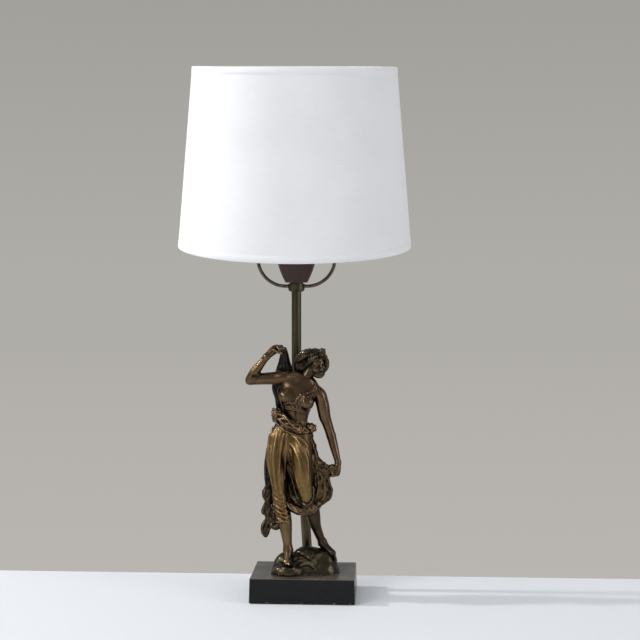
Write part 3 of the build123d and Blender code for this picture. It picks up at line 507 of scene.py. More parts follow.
def skin(values, low, step):
    """One vertex for each crossed cell, and one square for each crossed grid edge."""
    inside = values < 0
    nx, ny, nz = values.shape
    cube = [(i, j, k) for i in (0, 1) for j in (0, 1) for k in (0, 1)]
    held = sum(
        inside[i : nx - 1 + i, j : ny - 1 + j, k : nz - 1 + k].astype(np.int8)
        for i, j, k in cube
    )
    crossed = (held > 0) & (held < 8)
    cells = np.argwhere(crossed)
    number = np.full(crossed.shape, -1, np.int32)
    number[crossed] = np.arange(len(cells))
    total = np.zeros((len(cells), 3))
    hits = np.zeros(len(cells))
    for a in cube:
        for b in cube:
            if sum(b) == sum(a) + 1 and all(y >= x for x, y in zip(a, b)):
                va = values[tuple((cells + a).T)]
                vb = values[tuple((cells + b).T)]
                hit = (va < 0) != (vb < 0)
                share = np.where(hit, va / np.where(hit, va - vb, 1), 0)
                total += hit[:, None] * (np.array(a) + share[:, None] * (np.array(b) - a))
                hits += hit
    verts = low + (cells + total / hits[:, None] + 0.5) * step
    quads = []
    for axis in range(3):
        lower = [slice(1, -1)] * 3
        upper = [slice(1, -1)] * 3
        lower[axis], upper[axis] = slice(0, -1), slice(1, None)
        change = inside[tuple(lower)] != inside[tuple(upper)]
        out = inside[tuple(lower)][change]
        spots = np.argwhere(change) + 1
        spots[:, axis] -= 1
        one, two = [a for a in range(3) if a != axis]
        ring = []
        for i, j in ((0, 0), (1, 0), (1, 1), (0, 1)):
            cell = spots.copy()
            cell[:, one] -= i
            cell[:, two] -= j
            ring.append(number[tuple(cell.T)])
        quad = np.stack(ring, 1)
        # The squares have to face outwards, and along y their corners run the other way round.
        flip = out if axis != 1 else ~out
        quad[flip] = quad[flip][:, ::-1]
        quads.append(quad[:, ::-1])
    return verts.astype(np.float32), np.vstack(quads)


def six_looks(form, p, reach):
    """The distances a little ahead of and behind each point, along x, y and z in turn."""
    ways = reach * np.eye(3, dtype=np.float32)
    return [form(p + side * way) for way in ways for side in (1, -1)]


def slope(form, p, reach=0.25):
    """The direction in which the distance grows, at each point."""
    looks = six_looks(form, p, reach)
    rises = [ahead - behind for ahead, behind in zip(looks[::2], looks[1::2])]
    return np.stack(rises, 1) / (2 * reach)


def settle(form, verts, step):
    """Slides each vertex onto the skin."""
    for _ in range(SLIDES):
        rise = slope(form, verts)
        size = np.maximum((rise**2).sum(1), LEAST_RISE)
        move = rise * (form(verts) / size)[:, None]
        length = np.maximum(np.linalg.norm(move, axis=1), 1e-6)
        verts = verts - move * np.minimum(1, LONGEST_SLIDE * step / length)[:, None]
    return verts


print("mesher ready, grid", GRAIN, "mm")

# %% [markdown]
# The patina tells where hands and cloths have rubbed: crests are golden and hollows stay nearly
# black. How much a vertex stands out is read from the form itself, as the mean distance at six
# points round it, and how hidden it is from the whole figure's distance a few millimetres out.
# Hidden places are darkened further as painted shade, and faces turned to the front are lightened
# as painted light. All of it goes into one attribute, which the bronze finish reads.

# %% Casting a piece
BRONZE_PIECES = {}
LOOKS_ROUND = ((0.8, 1.5), (2.2, 0.55))  # how far to look, in millimetres, and its weight


def worn_at(form, verts):
    """About 0 in hollows, 0.5 on flats and 1 on crests."""
    wear_light_and_shade = np.full(len(verts), 0.5, np.float32)
    for reach, weight in LOOKS_ROUND:
        wear_light_and_shade += weight * (sum(six_looks(form, verts, reach)) / 6 - form(verts))
    return wear_light_and_shade


def mesh_object(name, verts, faces):
    """A smooth mesh object from arrays, with its places in millimetres."""
    mesh = bpy.data.meshes.new(name)
    mesh.vertices.add(len(verts))
    mesh.vertices.foreach_set("co", (verts * MM).astype(np.float32).ravel())
    mesh.loops.add(faces.size)
    mesh.loops.foreach_set("vertex_index", faces.ravel().astype(np.int32))
    mesh.polygons.add(len(faces))
    starts = np.arange(0, faces.size, faces.shape[1], dtype=np.int32)
    mesh.polygons.foreach_set("loop_start", starts)
    mesh.update(calc_edges=True)
    mesh.validate()
    mesh.polygons.foreach_set("use_smooth", np.ones(len(mesh.polygons), bool))
    made = bpy.data.objects.new(name, mesh)
    bpy.context.collection.objects.link(made)
    return made


def cast(node, form, low, high, grain=1.0):
    """Makes the visible casting that stands for a CAD node."""
    clock = time.time()
    step = GRAIN * grain
    low = np.array(low, np.float32)
    high = np.array(high, np.float32)
    values = fine_grid(form, low, high, step)
    verts, faces = skin(values, low, step)
    verts = settle(form, verts, step)
    made = mesh_object("bronze_" + node, verts, faces)
    BRONZE_PIECES[node] = (made, form, low, high, verts)
    print(f"{node}: {len(verts)} vertices in {time.time() - clock:.1f} s")


# %% [markdown]
# ## The figure
# Her joints are the same points as in the mechanical model, so each casting sits where that
# model holds its node. Heights count from the plinth's top. "Right" and "left" are her own.

# %% Her joints
PLINTH_TOP = 25.3


def spot(x, y, z):
    """A place that is z above the plinth's top."""
    return at(x, y, PLINTH_TOP + z)


RIGHT_ANKLE = spot(-15.4, -14, 25)
RIGHT_CALF = RIGHT_ANKLE + at(-3.0, 1, 27)
RIGHT_KNEE = RIGHT_CALF + at(-5.4, 1, 27)
RIGHT_THIGH = RIGHT_KNEE + at(-5.0, 4, 37)
RIGHT_HIP = RIGHT_THIGH + at(4, 5, 18)
LEFT_ANKLE = spot(18.5, 0, 29)
LEFT_CALF = LEFT_ANKLE + at(-10, -9, 32)
LEFT_KNEE = LEFT_CALF + at(-5.5, -7, 18)
LEFT_THIGH = LEFT_KNEE + at(-4.6, 5, 43)
LEFT_HIP = LEFT_THIGH + at(-1.5, 6, 14)
PELVIS = (RIGHT_HIP + LEFT_HIP) * 0.5 + at(-0.5, 2, 1)
WAIST = PELVIS + at(6, -0.5, 21.5)
RIBS = WAIST + at(0.6, -0.5, 12.5)
CHEST = RIBS + at(2, 0, 12)
SHOULDERS = CHEST + at(3.5, 1, 11.5)
NECK = SHOULDERS + at(4, 0, 5.5)
HEAD = NECK + at(10.8, -1.5, 13.5)
RIGHT_SHOULDER = SHOULDERS + at(-17, 0, 3.5)
RIGHT_ELBOW = RIGHT_SHOULDER + at(-34.5, -2, -2)
RIGHT_WRIST = RIGHT_ELBOW + at(16.3, -4, 23.5)
RIGHT_FIST = RIGHT_WRIST + at(9.6, 3, 8)
LEFT_SHOULDER = SHOULDERS + at(18.8, 0, -15)
LEFT_BICEP = LEFT_SHOULDER + at(4.3, 1, -19)
LEFT_ELBOW = LEFT_BICEP + at(6.7, 1, -21.5)
LEFT_WRIST = LEFT_ELBOW + at(7.2, -6, -26)
LEFT_FIST = LEFT_WRIST + at(-1.5, -1, -10.5)
print("skeleton: crown near", (HEAD + at(-4, 0, 15)).round(1))


# %% [markdown]
# The rock is a few lumps of wax pressed together, with a ledge for the front foot. Slow clouds
# make it uneven, with a few ridges and scratched cracks, and it is cut flat on the plinth.


# %% The rock
def rock(p):
    form = oval(p, at(3, 0, 26), (21, 14, 24.5))
    form = join(form, oval(p, at(19, -1, 24), (16.5, 15, 24)), 6)
    form = join(form, oval(p, at(-18, -4, 26), (14, 12, 19)), 5)
    form = join(form, oval(p, at(-17, -15, 25), (15.5, 9.5, 10.5)), 3)
    form = join(form, oval(p, at(6, -9, 25), (27, 13, 13)), 6)
    form = join(form, oval(p, at(-16.5, -20.5, 27.5), (12.0, 7.2, 8.2)), 5)
    form = join(form, oval(p, at(2, -4.5, 25.3), (35.5, 19.5, 1.8)), 1.5)
    form = form + 0.45 * clouds(p, 6.5) + 0.16 * clouds(p, 1.9)
    return cut_out(form, p[:, 2] - PLINTH_TOP, 0.6)


ROCK_RIDGES = [
    [(-14, 33), (-10, 33), (-6.5, 36), (-4, 38), (3, 39)],
    [(-30, 33), (-24, 35.5), (-19, 33.5), (-15, 34.5)],
]
ROCK_CRACKS = [[(-10, 46.5), (-5, 43.5), (2.5, 41.5), (6, 39)], [(-2, 33), (5, 34.5), (12, 31)]]
ridge_paths = [on_front(rock, line) for line in ROCK_RIDGES]
crack_paths = [on_front(rock, line) for line in ROCK_CRACKS]


def cracked_rock(p):
    form = lay(rock(p), p, ridge_paths, 1.6, 0.8, 0.3)
    for path in crack_paths:
        form = cut_out(form, bead(p, path, 0.6, 0.1), 1.4)
    return form


cast("rock_base", cracked_rock, (-36, -28, 23), (40, 18, 56))


# %% [markdown]
# The bare shins and feet. A shin is one tapering limb with a bone's edge along its front, an ankle
# has a knuckle on each side, and a foot is a wedge of a few rolls with toes at its end. The
# right foot carries her weight, and the left one points down the rock's far slope.


# %% The right shin and foot
def toes(p, root, way, spread, radius):
    """Five short toes side by side, the first one the largest."""
    form = nothing(p)
    for i in range(5):
        base = root + spread * (i - 2) * 0.5
        size = radius * (1.0 if i == 0 else 0.8 - 0.05 * i)
        form = join(form, roll(p, base, base + way * (1 - 0.1 * i), size, size * 0.85), 0.7)
    return form


def right_shin(p):
    knee = RIGHT_CALF + at(-1.2, 1, 12)
    mid = RIGHT_CALF + at(1.6, -0.5, -14)
    form = limb(p, [knee, RIGHT_CALF, mid, RIGHT_ANKLE], [6.4, 6.9, 5.3, 4.0])
    edge = [RIGHT_CALF + at(-1, -4.5, 4), RIGHT_ANKLE + at(0, -2.6, 3)]
    form = join(form, limb(p, edge, [1.4, 1.0]), 3)
    heel = RIGHT_ANKLE + at(0, 3.5, -12)
    ball_of_foot = RIGHT_ANKLE + at(0, -8.5, -11)
    form = join(form, roll(p, RIGHT_ANKLE, heel, 3.6, 3.6), 4)
    form = join(form, roll(p, RIGHT_ANKLE + at(0, -1, -2), ball_of_foot, 3.6, 2.9), 4)
    form = join(form, oval(p, ball_of_foot, (4.6, 3.4, 2.4)), 2)
    for side in (-1, 1):
        form = join(form, ball(p, RIGHT_ANKLE + at(3.2 * side, 0.5, -1.5), 1.5), 2)
    root = ball_of_foot + at(0.3, -2.0, -0.4)
    return join(form, toes(p, root, at(0, -2.6, -1.3), at(-1.9, 0.5, -0.1), 1.35), 0.8)


cast("right_leg", right_shin, (-32, -34, 28), (-4, 2, 92))


# %% [markdown]
# The left shin hangs behind the other, with its calf swelling out at the back. Its foot points
# steeply down, so the toes carry on the line of the shin.


# %% The left shin and foot
def left_shin(p):
    knee = LEFT_KNEE + at(1, 4, -2)
    mid = LEFT_CALF + at(4.5, 5, -17)
    form = limb(p, [knee, LEFT_CALF, mid, LEFT_ANKLE], [6.0, 6.7, 5.0, 3.7])
    form = join(form, oval(p, LEFT_CALF + at(2.0, 3.5, -1), (5.4, 5.2, 14)), 4)
    edge = [LEFT_CALF + at(-1, -5, 4), LEFT_ANKLE + at(-1.5, -2.6, 4)]
    form = join(form, limb(p, edge, [1.4, 1.0]), 3)
    ball_of_foot = LEFT_ANKLE + at(10.5, -4.5, -10)
    heel = LEFT_ANKLE + at(1.0, 4.0, -6)
    form = join(form, roll(p, LEFT_ANKLE, heel, 3.4, 3.0), 3)
    form = join(form, roll(p, LEFT_ANKLE, ball_of_foot, 3.6, 2.9), 3)
    form = join(form, roll(p, heel, ball_of_foot, 2.8, 2.8), 3)
    for side in (-1, 1):
        form = join(form, ball(p, LEFT_ANKLE + at(2.6 * side, -0.5, 2.2 * side), 1.5), 1.5)
    root = ball_of_foot + at(1.8, -0.8, -3.0)
    return join(form, toes(p, root, at(1.2, -1.2, -3.4), at(-0.9, 1.9, -0.4), 1.3), 0.8)


cast("left_leg", left_shin, (-8, -28, 33), (40, 12, 112))

# %% [markdown]
# ## Cloth cast in metal
# The trousers are two full legs on a pair of hips. Long folds run down them from the sash, and
# each is a thin roll of wax laid on the front by hand, then smoothed in until it is hardly more
# than a swelling. Clouds stretched along the legs add the cloth's fine wrinkles.

# %% The trousers
HEM = RIGHT_CALF + at(-1.5, 0, 5)
TIP = LEFT_KNEE + at(0.5, 0, -4)
HIP_LEVELS = [
    (PELVIS[2] - 24, PELVIS[0] + 1, PELVIS[1], 17.0, 8.5),
    (PELVIS[2] - 12, PELVIS[0], PELVIS[1], 20.3, 11.5),
    (PELVIS[2], PELVIS[0], PELVIS[1], 20.8, 12.5),
    (PELVIS[2] + 10, PELVIS[0] + 1, PELVIS[1], 17.6, 11.0),
    (PELVIS[2] + 19, PELVIS[0] + 3.5, PELVIS[1] - 0.5, 14.2, 9.6),
]


def bare_trousers(p):
    form = stack(p, HIP_LEVELS, fold=lambda a, z: 0.45 * crests(a * 7 + z * 0.05))
    right = limb(
        p,
        [RIGHT_HIP, RIGHT_THIGH, RIGHT_KNEE + at(-1, 0, 15), RIGHT_KNEE, HEM],
        [11.2, 9.4, 8.1, 7.4, 7.6],
    )
    left = limb(
        p,
        [LEFT_HIP, LEFT_THIGH, LEFT_KNEE + at(-2.6, -1, 18), LEFT_KNEE + at(0, 0, 2), TIP],
        [11.2, 10.5, 8.9, 7.2, 4.8],
    )
    return join(join(form, right, 4), left, 3)


LONG_FOLDS = [
    [(-30.5, 177), (-33.5, 167), (-36, 153), (-35, 135), (-31, 115)],
    [(-25, 172), (-28, 160), (-30, 144), (-29, 130), (-27, 112)],
    [(-19, 167), (-21.5, 157), (-23.5, 144), (-24, 125), (-22, 108)],
    [(-16, 166), (-17.5, 155), (-18, 140), (-18.5, 122)],
    [(-10.5, 165), (-5, 160), (0.5, 152), (4.5, 143), (6, 130)],
    [(-7, 164), (-0.5, 161.5), (4.5, 155)],
    [(-12.5, 157), (-8.5, 151), (-4, 143), (-1.5, 132)],
    [(-13, 150), (-10.5, 138), (-6, 122), (-1, 106)],
]
GATHERS = [
    [(-31, 105), (-26, 101), (-19, 99)],
    [(-30, 98), (-25.5, 94), (-21, 93), (-16, 95)],
    [(-29, 92), (-22.5, 88), (-15.5, 89)],
    [(-25, 90), (-20, 84), (-14.5, 84)],
    [(-28, 86), (-23, 80.5), (-17, 80)],
]
long_paths = [on_front(bare_trousers, line) for line in LONG_FOLDS]
gather_paths = [on_front(bare_trousers, line) for line in GATHERS]

# %% The trousers' hem and creases
HEM_RADIUS = 7.4
hem_turns = np.linspace(0, 2 * math.pi, 25)
hem_x = HEM[0] + HEM_RADIUS * np.cos(hem_turns)
hem_y = HEM[1] + HEM_RADIUS * np.sin(hem_turns)
hem_z = HEM[2] - 3.5 + 0.7 * np.sin(3 * hem_turns)
hem_ring = np.stack([hem_x, hem_y, hem_z], 1).astype(np.float32)


def trousers(p):
    form = lay(bare_trousers(p), p, long_paths, 2.2, 0.55, 0.1)
    form = lay(form, p, gather_paths, 1.8, 0.7, 0.2)
    below = np.clip((112 - p[:, 2]) / 20, 0, 1) * (p[:, 0] < -10)
    back = np.clip((p[:, 1] + 6) / 8, 0, 1)
    creases = crests(p[:, 2] * 0.8 + 0.35 * p[:, 0] + 0.9 * clouds(p, 4.0))
    form = form - 0.38 * below * creases - 0.4 * back * crests(p[:, 0] * 0.5 + 0.05 * p[:, 2])
    hang = p * np.array([1, 1, 0.22], np.float32)
    form = form - 0.07 * clouds(hang, 0.7) - 0.09 * clouds(hang, 2.4)
    return join(form, bead(p, hem_ring, 0.9), 1.2)


cast("trousers", trousers, (-44, -30, 72), (12, 16, 184))


# %% [markdown]
# An overskirt hangs between the legs and loops up under her left knee in a swag with a rolled hem.
# Two more hems cross it. It lies deeper than the trousers, so it reads as a dark field with
# thin bright edges.

# %% The skirt's swag
SWAG_LEVELS = [
    (88.0, 1.0, -4.0, 13.0, 6.0),
    (94.0, 0.0, -5.0, 16.5, 8.5),
    (107.0, -1.5, -3.5, 17.5, 8.0),
    (128.0, -6.0, -1.5, 18.0, 8.0),
    (142.0, -14.0, -2.0, 17.0, 8.0),
]
SWAG_HEM = [
    (-20, -6, 104),
    (-14, -13, 94.5),
    (-6, -17.5, 90.5),
    (2, -18.5, 89.5),
    (9, -14, 91),
    (14.5, -7, 95),
    (16, 1, 100),
]
SWAG_EDGES = [
    [(-18, 133.5), (-14.5, 126.5), (-11, 118), (-8.5, 109), (-5, 101), (1.5, 96), (7.5, 98),
     (10, 104)],
    [(-18, 101), (-13.5, 93.5), (-7, 89.5), (-3.5, 89)],
    [(-16, 118), (-14, 108), (-9, 100), (-3, 95)],
    [(-3.5, 88.5), (2, 86.5), (9.5, 87.5), (14, 92)],
]


def bare_swag(p):
    form = stack(p, SWAG_LEVELS, fold=lambda a, z: 0.8 * crests(a * 5 + z * 0.06))
    form = join(form, bead(p, smooth_path(SWAG_HEM, 3), 4.6, 3.2), 5)
    knee_wrap = limb(p, [LEFT_KNEE + at(1, 2, 6), TIP + at(0.5, 1, -3)], [8.6, 6.0])
    return join(form, knee_wrap, 3)


swag_paths = [on_front(bare_swag, line) for line in SWAG_EDGES]


def skirt_swag(p):
    form = lay(bare_swag(p), p, swag_paths, 1.4, 0.8, 0.4)
    above_knee = LEFT_KNEE + at(-2.6, -3, 18)
    knee = LEFT_KNEE + at(0, -3, 2)
    thigh = limb(p, [LEFT_THIGH, above_knee, knee, TIP + at(0, -3, 2)], [9.9, 8.4, 6.9, 4.5])
    form = cut_out(form, thigh, 0.8)
    creases = crests(p[:, 0] * 0.7 + p[:, 2] * 0.6 + clouds(p, 5.0))
    return form - 0.3 * clouds(p, 2.4) - 0.15 * creases


cast("skirt_swag", skirt_swag, (-34, -28, 82), (22, 12, 146))


# %% [markdown]
# Her body leans over the raised hip. The trunk is a stack that shears towards the shoulders, with
# the bust, the rolls of the shoulders and a collar bone smoothed in. The midriff is bare, with
# one soft line pressed down its middle.

# %% The torso
TRUNK_LEVELS = [
    (PELVIS[2] + 8, PELVIS[0] + 1.5, -2.0, 15.0, 9.8),
    (WAIST[2], WAIST[0], -2.5, 12.7, 9.0),
    (RIBS[2], RIBS[0], -3.0, 15.6, 10.2),
    (CHEST[2], CHEST[0] + 0.5, -3.0, 18.6, 10.4),
    (SHOULDERS[2] - 2, SHOULDERS[0] + 0.3, -2.0, 18.0, 8.4),
    (NECK[2] + 2, NECK[0] + 1.0, -1.6, 9.5, 6.2),
]
RIGHT_BREAST = at(-18.0, -10.2, 204.0)
LEFT_BREAST = at(3.5, -10.8, 197.8)


def bare_trunk(p):
    lean = 0.40 * np.clip((p[:, 2] - WAIST[2]) / 30, 0, 1)
    form = stack(p, TRUNK_LEVELS, lean=lean, round_end=4)
    for breast in (RIGHT_BREAST, LEFT_BREAST):
        form = join(form, oval(p, breast, (6.9, 6.6, 6.9)), 4.5)
    right_end = RIGHT_SHOULDER + at(2, -1, 0.5)
    left_end = LEFT_SHOULDER + at(-5, 0, 5)
    form = join(form, roll(p, SHOULDERS + at(-4, -4, 4), right_end, 3.8, 5.2), 5)
    form = join(form, roll(p, SHOULDERS + at(6, -3, -2), left_end, 3.8, 5.6), 5)
    collar_bone = roll(p, NECK + at(-2, -5, -3), RIGHT_SHOULDER + at(5, -4, 2), 0.9, 0.8)
    form = join(form, collar_bone, 3)
    middle = bead(p, smooth_path([(-7.5, -12, 176), (-8, -12.2, 188), (-8, -13, 195)]), 0.5, 0.3)
    return cut_out(form, middle, 2)


print("trunk ready")

# %% [markdown]
# The bodice is cloth so thin that it is only lines on the trunk: two ruffled edges, drawn bands
# and straps, and the small folds between them. Each is a bead along a few given points.

# %% The bodice
RUFFLES = [
    [(-26, 200), (-19, 196.5), (-13.5, 198.5), (-9, 198), (-5, 203), (0.5, 206.5), (6, 208.5),
     (12, 210)],
    [(-3, 206.5), (2.5, 204), (9, 206)],
]
BODICE_BANDS = [
    [(-23, 196.2), (-18, 194), (-10.5, 193), (-3, 191), (3, 189), (6.5, 189.5)],
    [(-22.5, 193.8), (-18, 192), (-10.5, 190.8), (-3, 189), (2, 187.2), (5, 187.2)],
    [(-25, 201), (-26.5, 208), (-25, 214)],
    [(8, 209), (11, 214), (12, 218)],
]
BODICE_FOLDS = [
    [(-14, 199), (-10, 194)],
    [(-9, 199), (-6, 192)],
    [(-3, 202), (-3, 191)],
    [(-1, 205), (2, 197), (3, 189)],
    [(7, 207), (9, 199), (8, 191)],
    [(4, 206), (0, 199)],
    [(-22, 199), (-22, 195)],
]
ruffle_paths = [on_front(bare_trunk, line) for line in RUFFLES]
band_paths = [on_front(bare_trunk, line) for line in BODICE_BANDS]
bodice_folds = [on_front(bare_trunk, line) for line in BODICE_FOLDS]


def torso(p):
    form = bare_trunk(p)
    ruffle = 0.22 * np.sin(p[:, 0] * 1.9 + p[:, 2] * 0.7)
    for path in ruffle_paths:
        form = join(form, bead(p, path, 0.7, 0.35) - ruffle, 1.4)
    form = lay(form, p, band_paths, 1.4, 0.5, 0.35)
    return lay(form, p, bodice_folds, 1.3, 0.35, 0.1)


cast("torso", torso, (-32, -24, 166), (22, 12, 234))


# %% [markdown]
# The sash is a scarf wound round the hips. It is a slanting band with the scarf's folds laid round
# it as strands of a very slack rope, and a few more folds, listed one by one, where it is pulled
# down in front.

# %% The sash
SASH_MIDDLE = at(-11.5, -2.2, 176.0)
SASH_HALF = (18.8, 12.4)
SASH_DROP = 0.60  # it falls by this much for each millimetre towards her left
STRANDS = 5


def sash_ring(out, up, turn):
    """Points round the slanting sash, pushed out and up."""
    x = (SASH_HALF[0] + out) * np.cos(turn)
    y = (SASH_HALF[1] + out) * np.sin(turn)
    front = np.where(np.sin(turn) < 0, 1.0, 0.5)
    z = up - SASH_DROP * x * front
    return (SASH_MIDDLE + np.stack([x, y, z], 1)).astype(np.float32)


turns = np.linspace(0, 2 * math.pi, 61)
strand_paths = []
for strand in range(STRANDS):
    spin = 3 * turns + strand * 2 * math.pi / STRANDS
    strand_paths.append(sash_ring(0.3 + 0.9 * np.cos(spin), 3.6 * np.sin(spin), turns))
core_paths = [sash_ring(0 * turns - 0.8, 0 * turns + level, turns) for level in (-2.4, 0, 2.4)]
PULLED = [
    [(-25.5, 191), (-19, 185.5), (-12.5, 178), (-7, 173), (-1.5, 171.5)],
    [(-30, 179), (-22.5, 172.5), (-14, 168), (-6, 165.5), (0.5, 165)],
    [(-28, 184.5), (-20.5, 178), (-12.5, 170.5), (-3, 168)],
    [(-30, 183), (-25, 175), (-20, 169)],
]


def sash_band(p):
    form = lay(nothing(p), p, core_paths, 1.5, 2.0)
    return lay(form, p, strand_paths, 0.9, 1.35)


def sash_and_hips(p):
    return join(sash_band(p), bare_trousers(p), 1)


pulled_paths = [on_front(sash_and_hips, line) for line in PULLED]


def hip_sash(p):
    form = lay(sash_band(p), p, pulled_paths, 1.2, 1.3, 0.6)
    return form - 0.15 * clouds(p, 1.1)


cast("hip_sash", hip_sash, (-38, -20, 158), (14, 17, 194))

# %% [markdown]
# Three cloth rosettes are pinned to the sash. A rosette is a rule rather than a sculpture: a bud,
# and rings of petals round it, each ring turned by half a petal and set a little further back.


# %% The rosettes on the sash
ROSETTES = [
    PELVIS + at(-13.2, -9, 25.5),
    PELVIS + at(11.5, -12.8, 9.8),
    PELVIS + at(22.5, -4.5, 10.5),
]
PETAL_RINGS = ((4, 2.0, 2.1), (6, 3.5, 2.0))  # how many, how far out and how large


def rosettes(p):
    """Each rosette is a bud inside two rings of overlapping petals."""
    form = nothing(p)
    for middle in ROSETTES:
        flower = ball(p, middle + at(0, -1.5, 0), 1.9)
        for ring, (count, out, size) in enumerate(PETAL_RINGS):
            for i in range(count):
                turn = 2 * math.pi * (i + 0.5 * ring) / count
                petal = middle + at(out * math.cos(turn), -0.9 + 1.5 * ring, out * math.sin(turn))
                flower = join(flower, oval(p, petal, (size, 2.0, size)), 0.45)
        form = np.minimum(form, join(flower, ball(p, middle + at(0, 1.5, 0), 3.8), 1.0))
    return form


cast("sash_rosettes", rosettes, (-35, -24, 162), (16, 4, 196))

# %% [markdown]
# Her left hand bunches cloth at her side, and its folds fan out from the grip. The body is a stack
# again. A fan of crests round the grip gives the small folds, and the large ones, which the eye
# follows, are laid on one by one.

# %% The bunched cloth at her side
GRIP = LEFT_FIST + at(-2, 0, 0)
BUNCH_LEVELS = [
    (GRIP[2] + 38, GRIP[0] - 27.5, -4.0, 4.0, 4.0),
    (GRIP[2] + 28, GRIP[0] - 24.5, -4.5, 5.5, 5.0),
    (GRIP[2] + 16, GRIP[0] - 22.5, -5.5, 7.5, 6.0),
    (GRIP[2] + 8, GRIP[0] - 20.5, -6.0, 12.0, 7.0),
    (GRIP[2] - 6, GRIP[0] - 19.0, -6.0, 13.6, 7.4),
    (GRIP[2] - 18, GRIP[0] - 17.0, -6.0, 14.6, 7.4),
    (GRIP[2] - 26, GRIP[0] - 17.5, -6.0, 12.8, 6.2),
    (GRIP[2] - 33, GRIP[0] - 19.0, -6.0, 8.0, 4.0),
]
BUNCH_FOLDS = [
    [(7.5, 160.5), (10.5, 151), (13, 143), (15, 137.5)],
    [(4, 158), (7, 148), (9, 138), (8, 128)],
    [(15, 137.5), (20.5, 137), (25, 132)],
    [(13, 133), (18.5, 130.5), (24, 130)],
    [(17, 128), (18.5, 121.5), (17.5, 114), (13, 104)],
    [(24, 126), (26.5, 116), (28.5, 109), (26, 100), (20, 96)],
    [(20.5, 120), (22, 112.5), (26, 108)],
    [(11.5, 126), (12, 115), (10.5, 104)],
    [(9.5, 106), (12, 98), (18, 96)],
    [(22, 125), (21, 116), (22, 106), (18, 99)],
    [(14, 128), (15.5, 118), (14, 108)],
    [(8, 132), (8.5, 122), (7.5, 112)],
]


def bare_bunch(p):
    form = stack(p, BUNCH_LEVELS)
    gather = [GRIP + at(-13, 1, -2), GRIP + at(-6, 0.5, 2), GRIP + at(-1, 0, 4)]
    form = join(form, limb(p, gather, [8.0, 6.2, 4.6]), 4)
    away = np.hypot(p[:, 0] - GRIP[0], p[:, 2] - GRIP[2])
    fan = np.arctan2(p[:, 2] - GRIP[2] - 3, p[:, 0] - GRIP[0] - 4)
    return form - 1.1 * np.clip(away / 16, 0.3, 1) * crests(fan * 7.5 + 0.06 * away)


bunch_paths = [on_front(bare_bunch, line) for line in BUNCH_FOLDS]


def side_drapery(p):
    form = lay(bare_bunch(p), p, bunch_paths, 1.2, 1.25, 0.5)
    return form - 0.35 * clouds(p, 1.8)


cast("side_drapery", side_drapery, (-6, -20, 90), (36, 6, 168))

# %% [markdown]
# A long cloak falls from her raised hand behind her back. It is a thin stack, drawn to a point in
# the fist, whose crests run down it and open out as it widens.

# %% The cloak
CLOAK_TOP = RIGHT_FIST + at(8, 5, -2.5)
CLOAK_LEVELS = [
    (CLOAK_TOP[2] + 4, CLOAK_TOP[0], 0.0, 1.9, 1.9),
    (CLOAK_TOP[2], CLOAK_TOP[0], 0.5, 3.0, 2.4),
    (CLOAK_TOP[2] - 5.5, CLOAK_TOP[0] - 0.3, 2.0, 4.7, 3.0),
    (CLOAK_TOP[2] - 11.5, CLOAK_TOP[0] - 0.3, 3.0, 6.2, 3.2),
    (CLOAK_TOP[2] - 20, CLOAK_TOP[0] - 0.3, 3.0, 8.6, 3.8),
    (CLOAK_TOP[2] - 37, CLOAK_TOP[0] - 0.5, 5.0, 12.6, 3.8),
    (CLOAK_TOP[2] - 52, CLOAK_TOP[0] + 1.5, 5.0, 11.5, 3.8),
    (CLOAK_TOP[2] - 68, CLOAK_TOP[0] + 3.0, 6.0, 11.5, 3.8),
    (CLOAK_TOP[2] - 92, CLOAK_TOP[0] - 2.0, 6.0, 14.5, 3.8),
    (CLOAK_TOP[2] - 114, CLOAK_TOP[0] - 9.5, 5.0, 11.5, 3.8),
    (CLOAK_TOP[2] - 124, CLOAK_TOP[0] - 12.5, 3.0, 8.6, 3.2),
    (CLOAK_TOP[2] - 140, CLOAK_TOP[0] - 17.2, -1.0, 2.6, 2.6),
]


def back_cloak(p):
    def fold(angle, z):
        spread = np.clip((CLOAK_TOP[2] + 4 - z) / 30, 0.15, 1)
        sway = 0.6 * np.sin(z * 0.09) + 0.4 * np.sin(z * 0.21)
        return 0.85 * spread * crests(np.cos(angle) * 6.5 + sway)

    form = stack(p, CLOAK_LEVELS, fold=fold, round_end=2)
    return form - 0.3 * clouds(p, 3.0) - 0.1 * clouds(p, 1.0)


cast("back_cloak", back_cloak, (-48, -8, 106), (-2, 14, 258))

# %% [markdown]
# The cloak's loose end flies out beside her right knee. It is one thick bead down the middle with
# shorter ones curling off it, each drawn by a few points, because no rule gives curls like these.

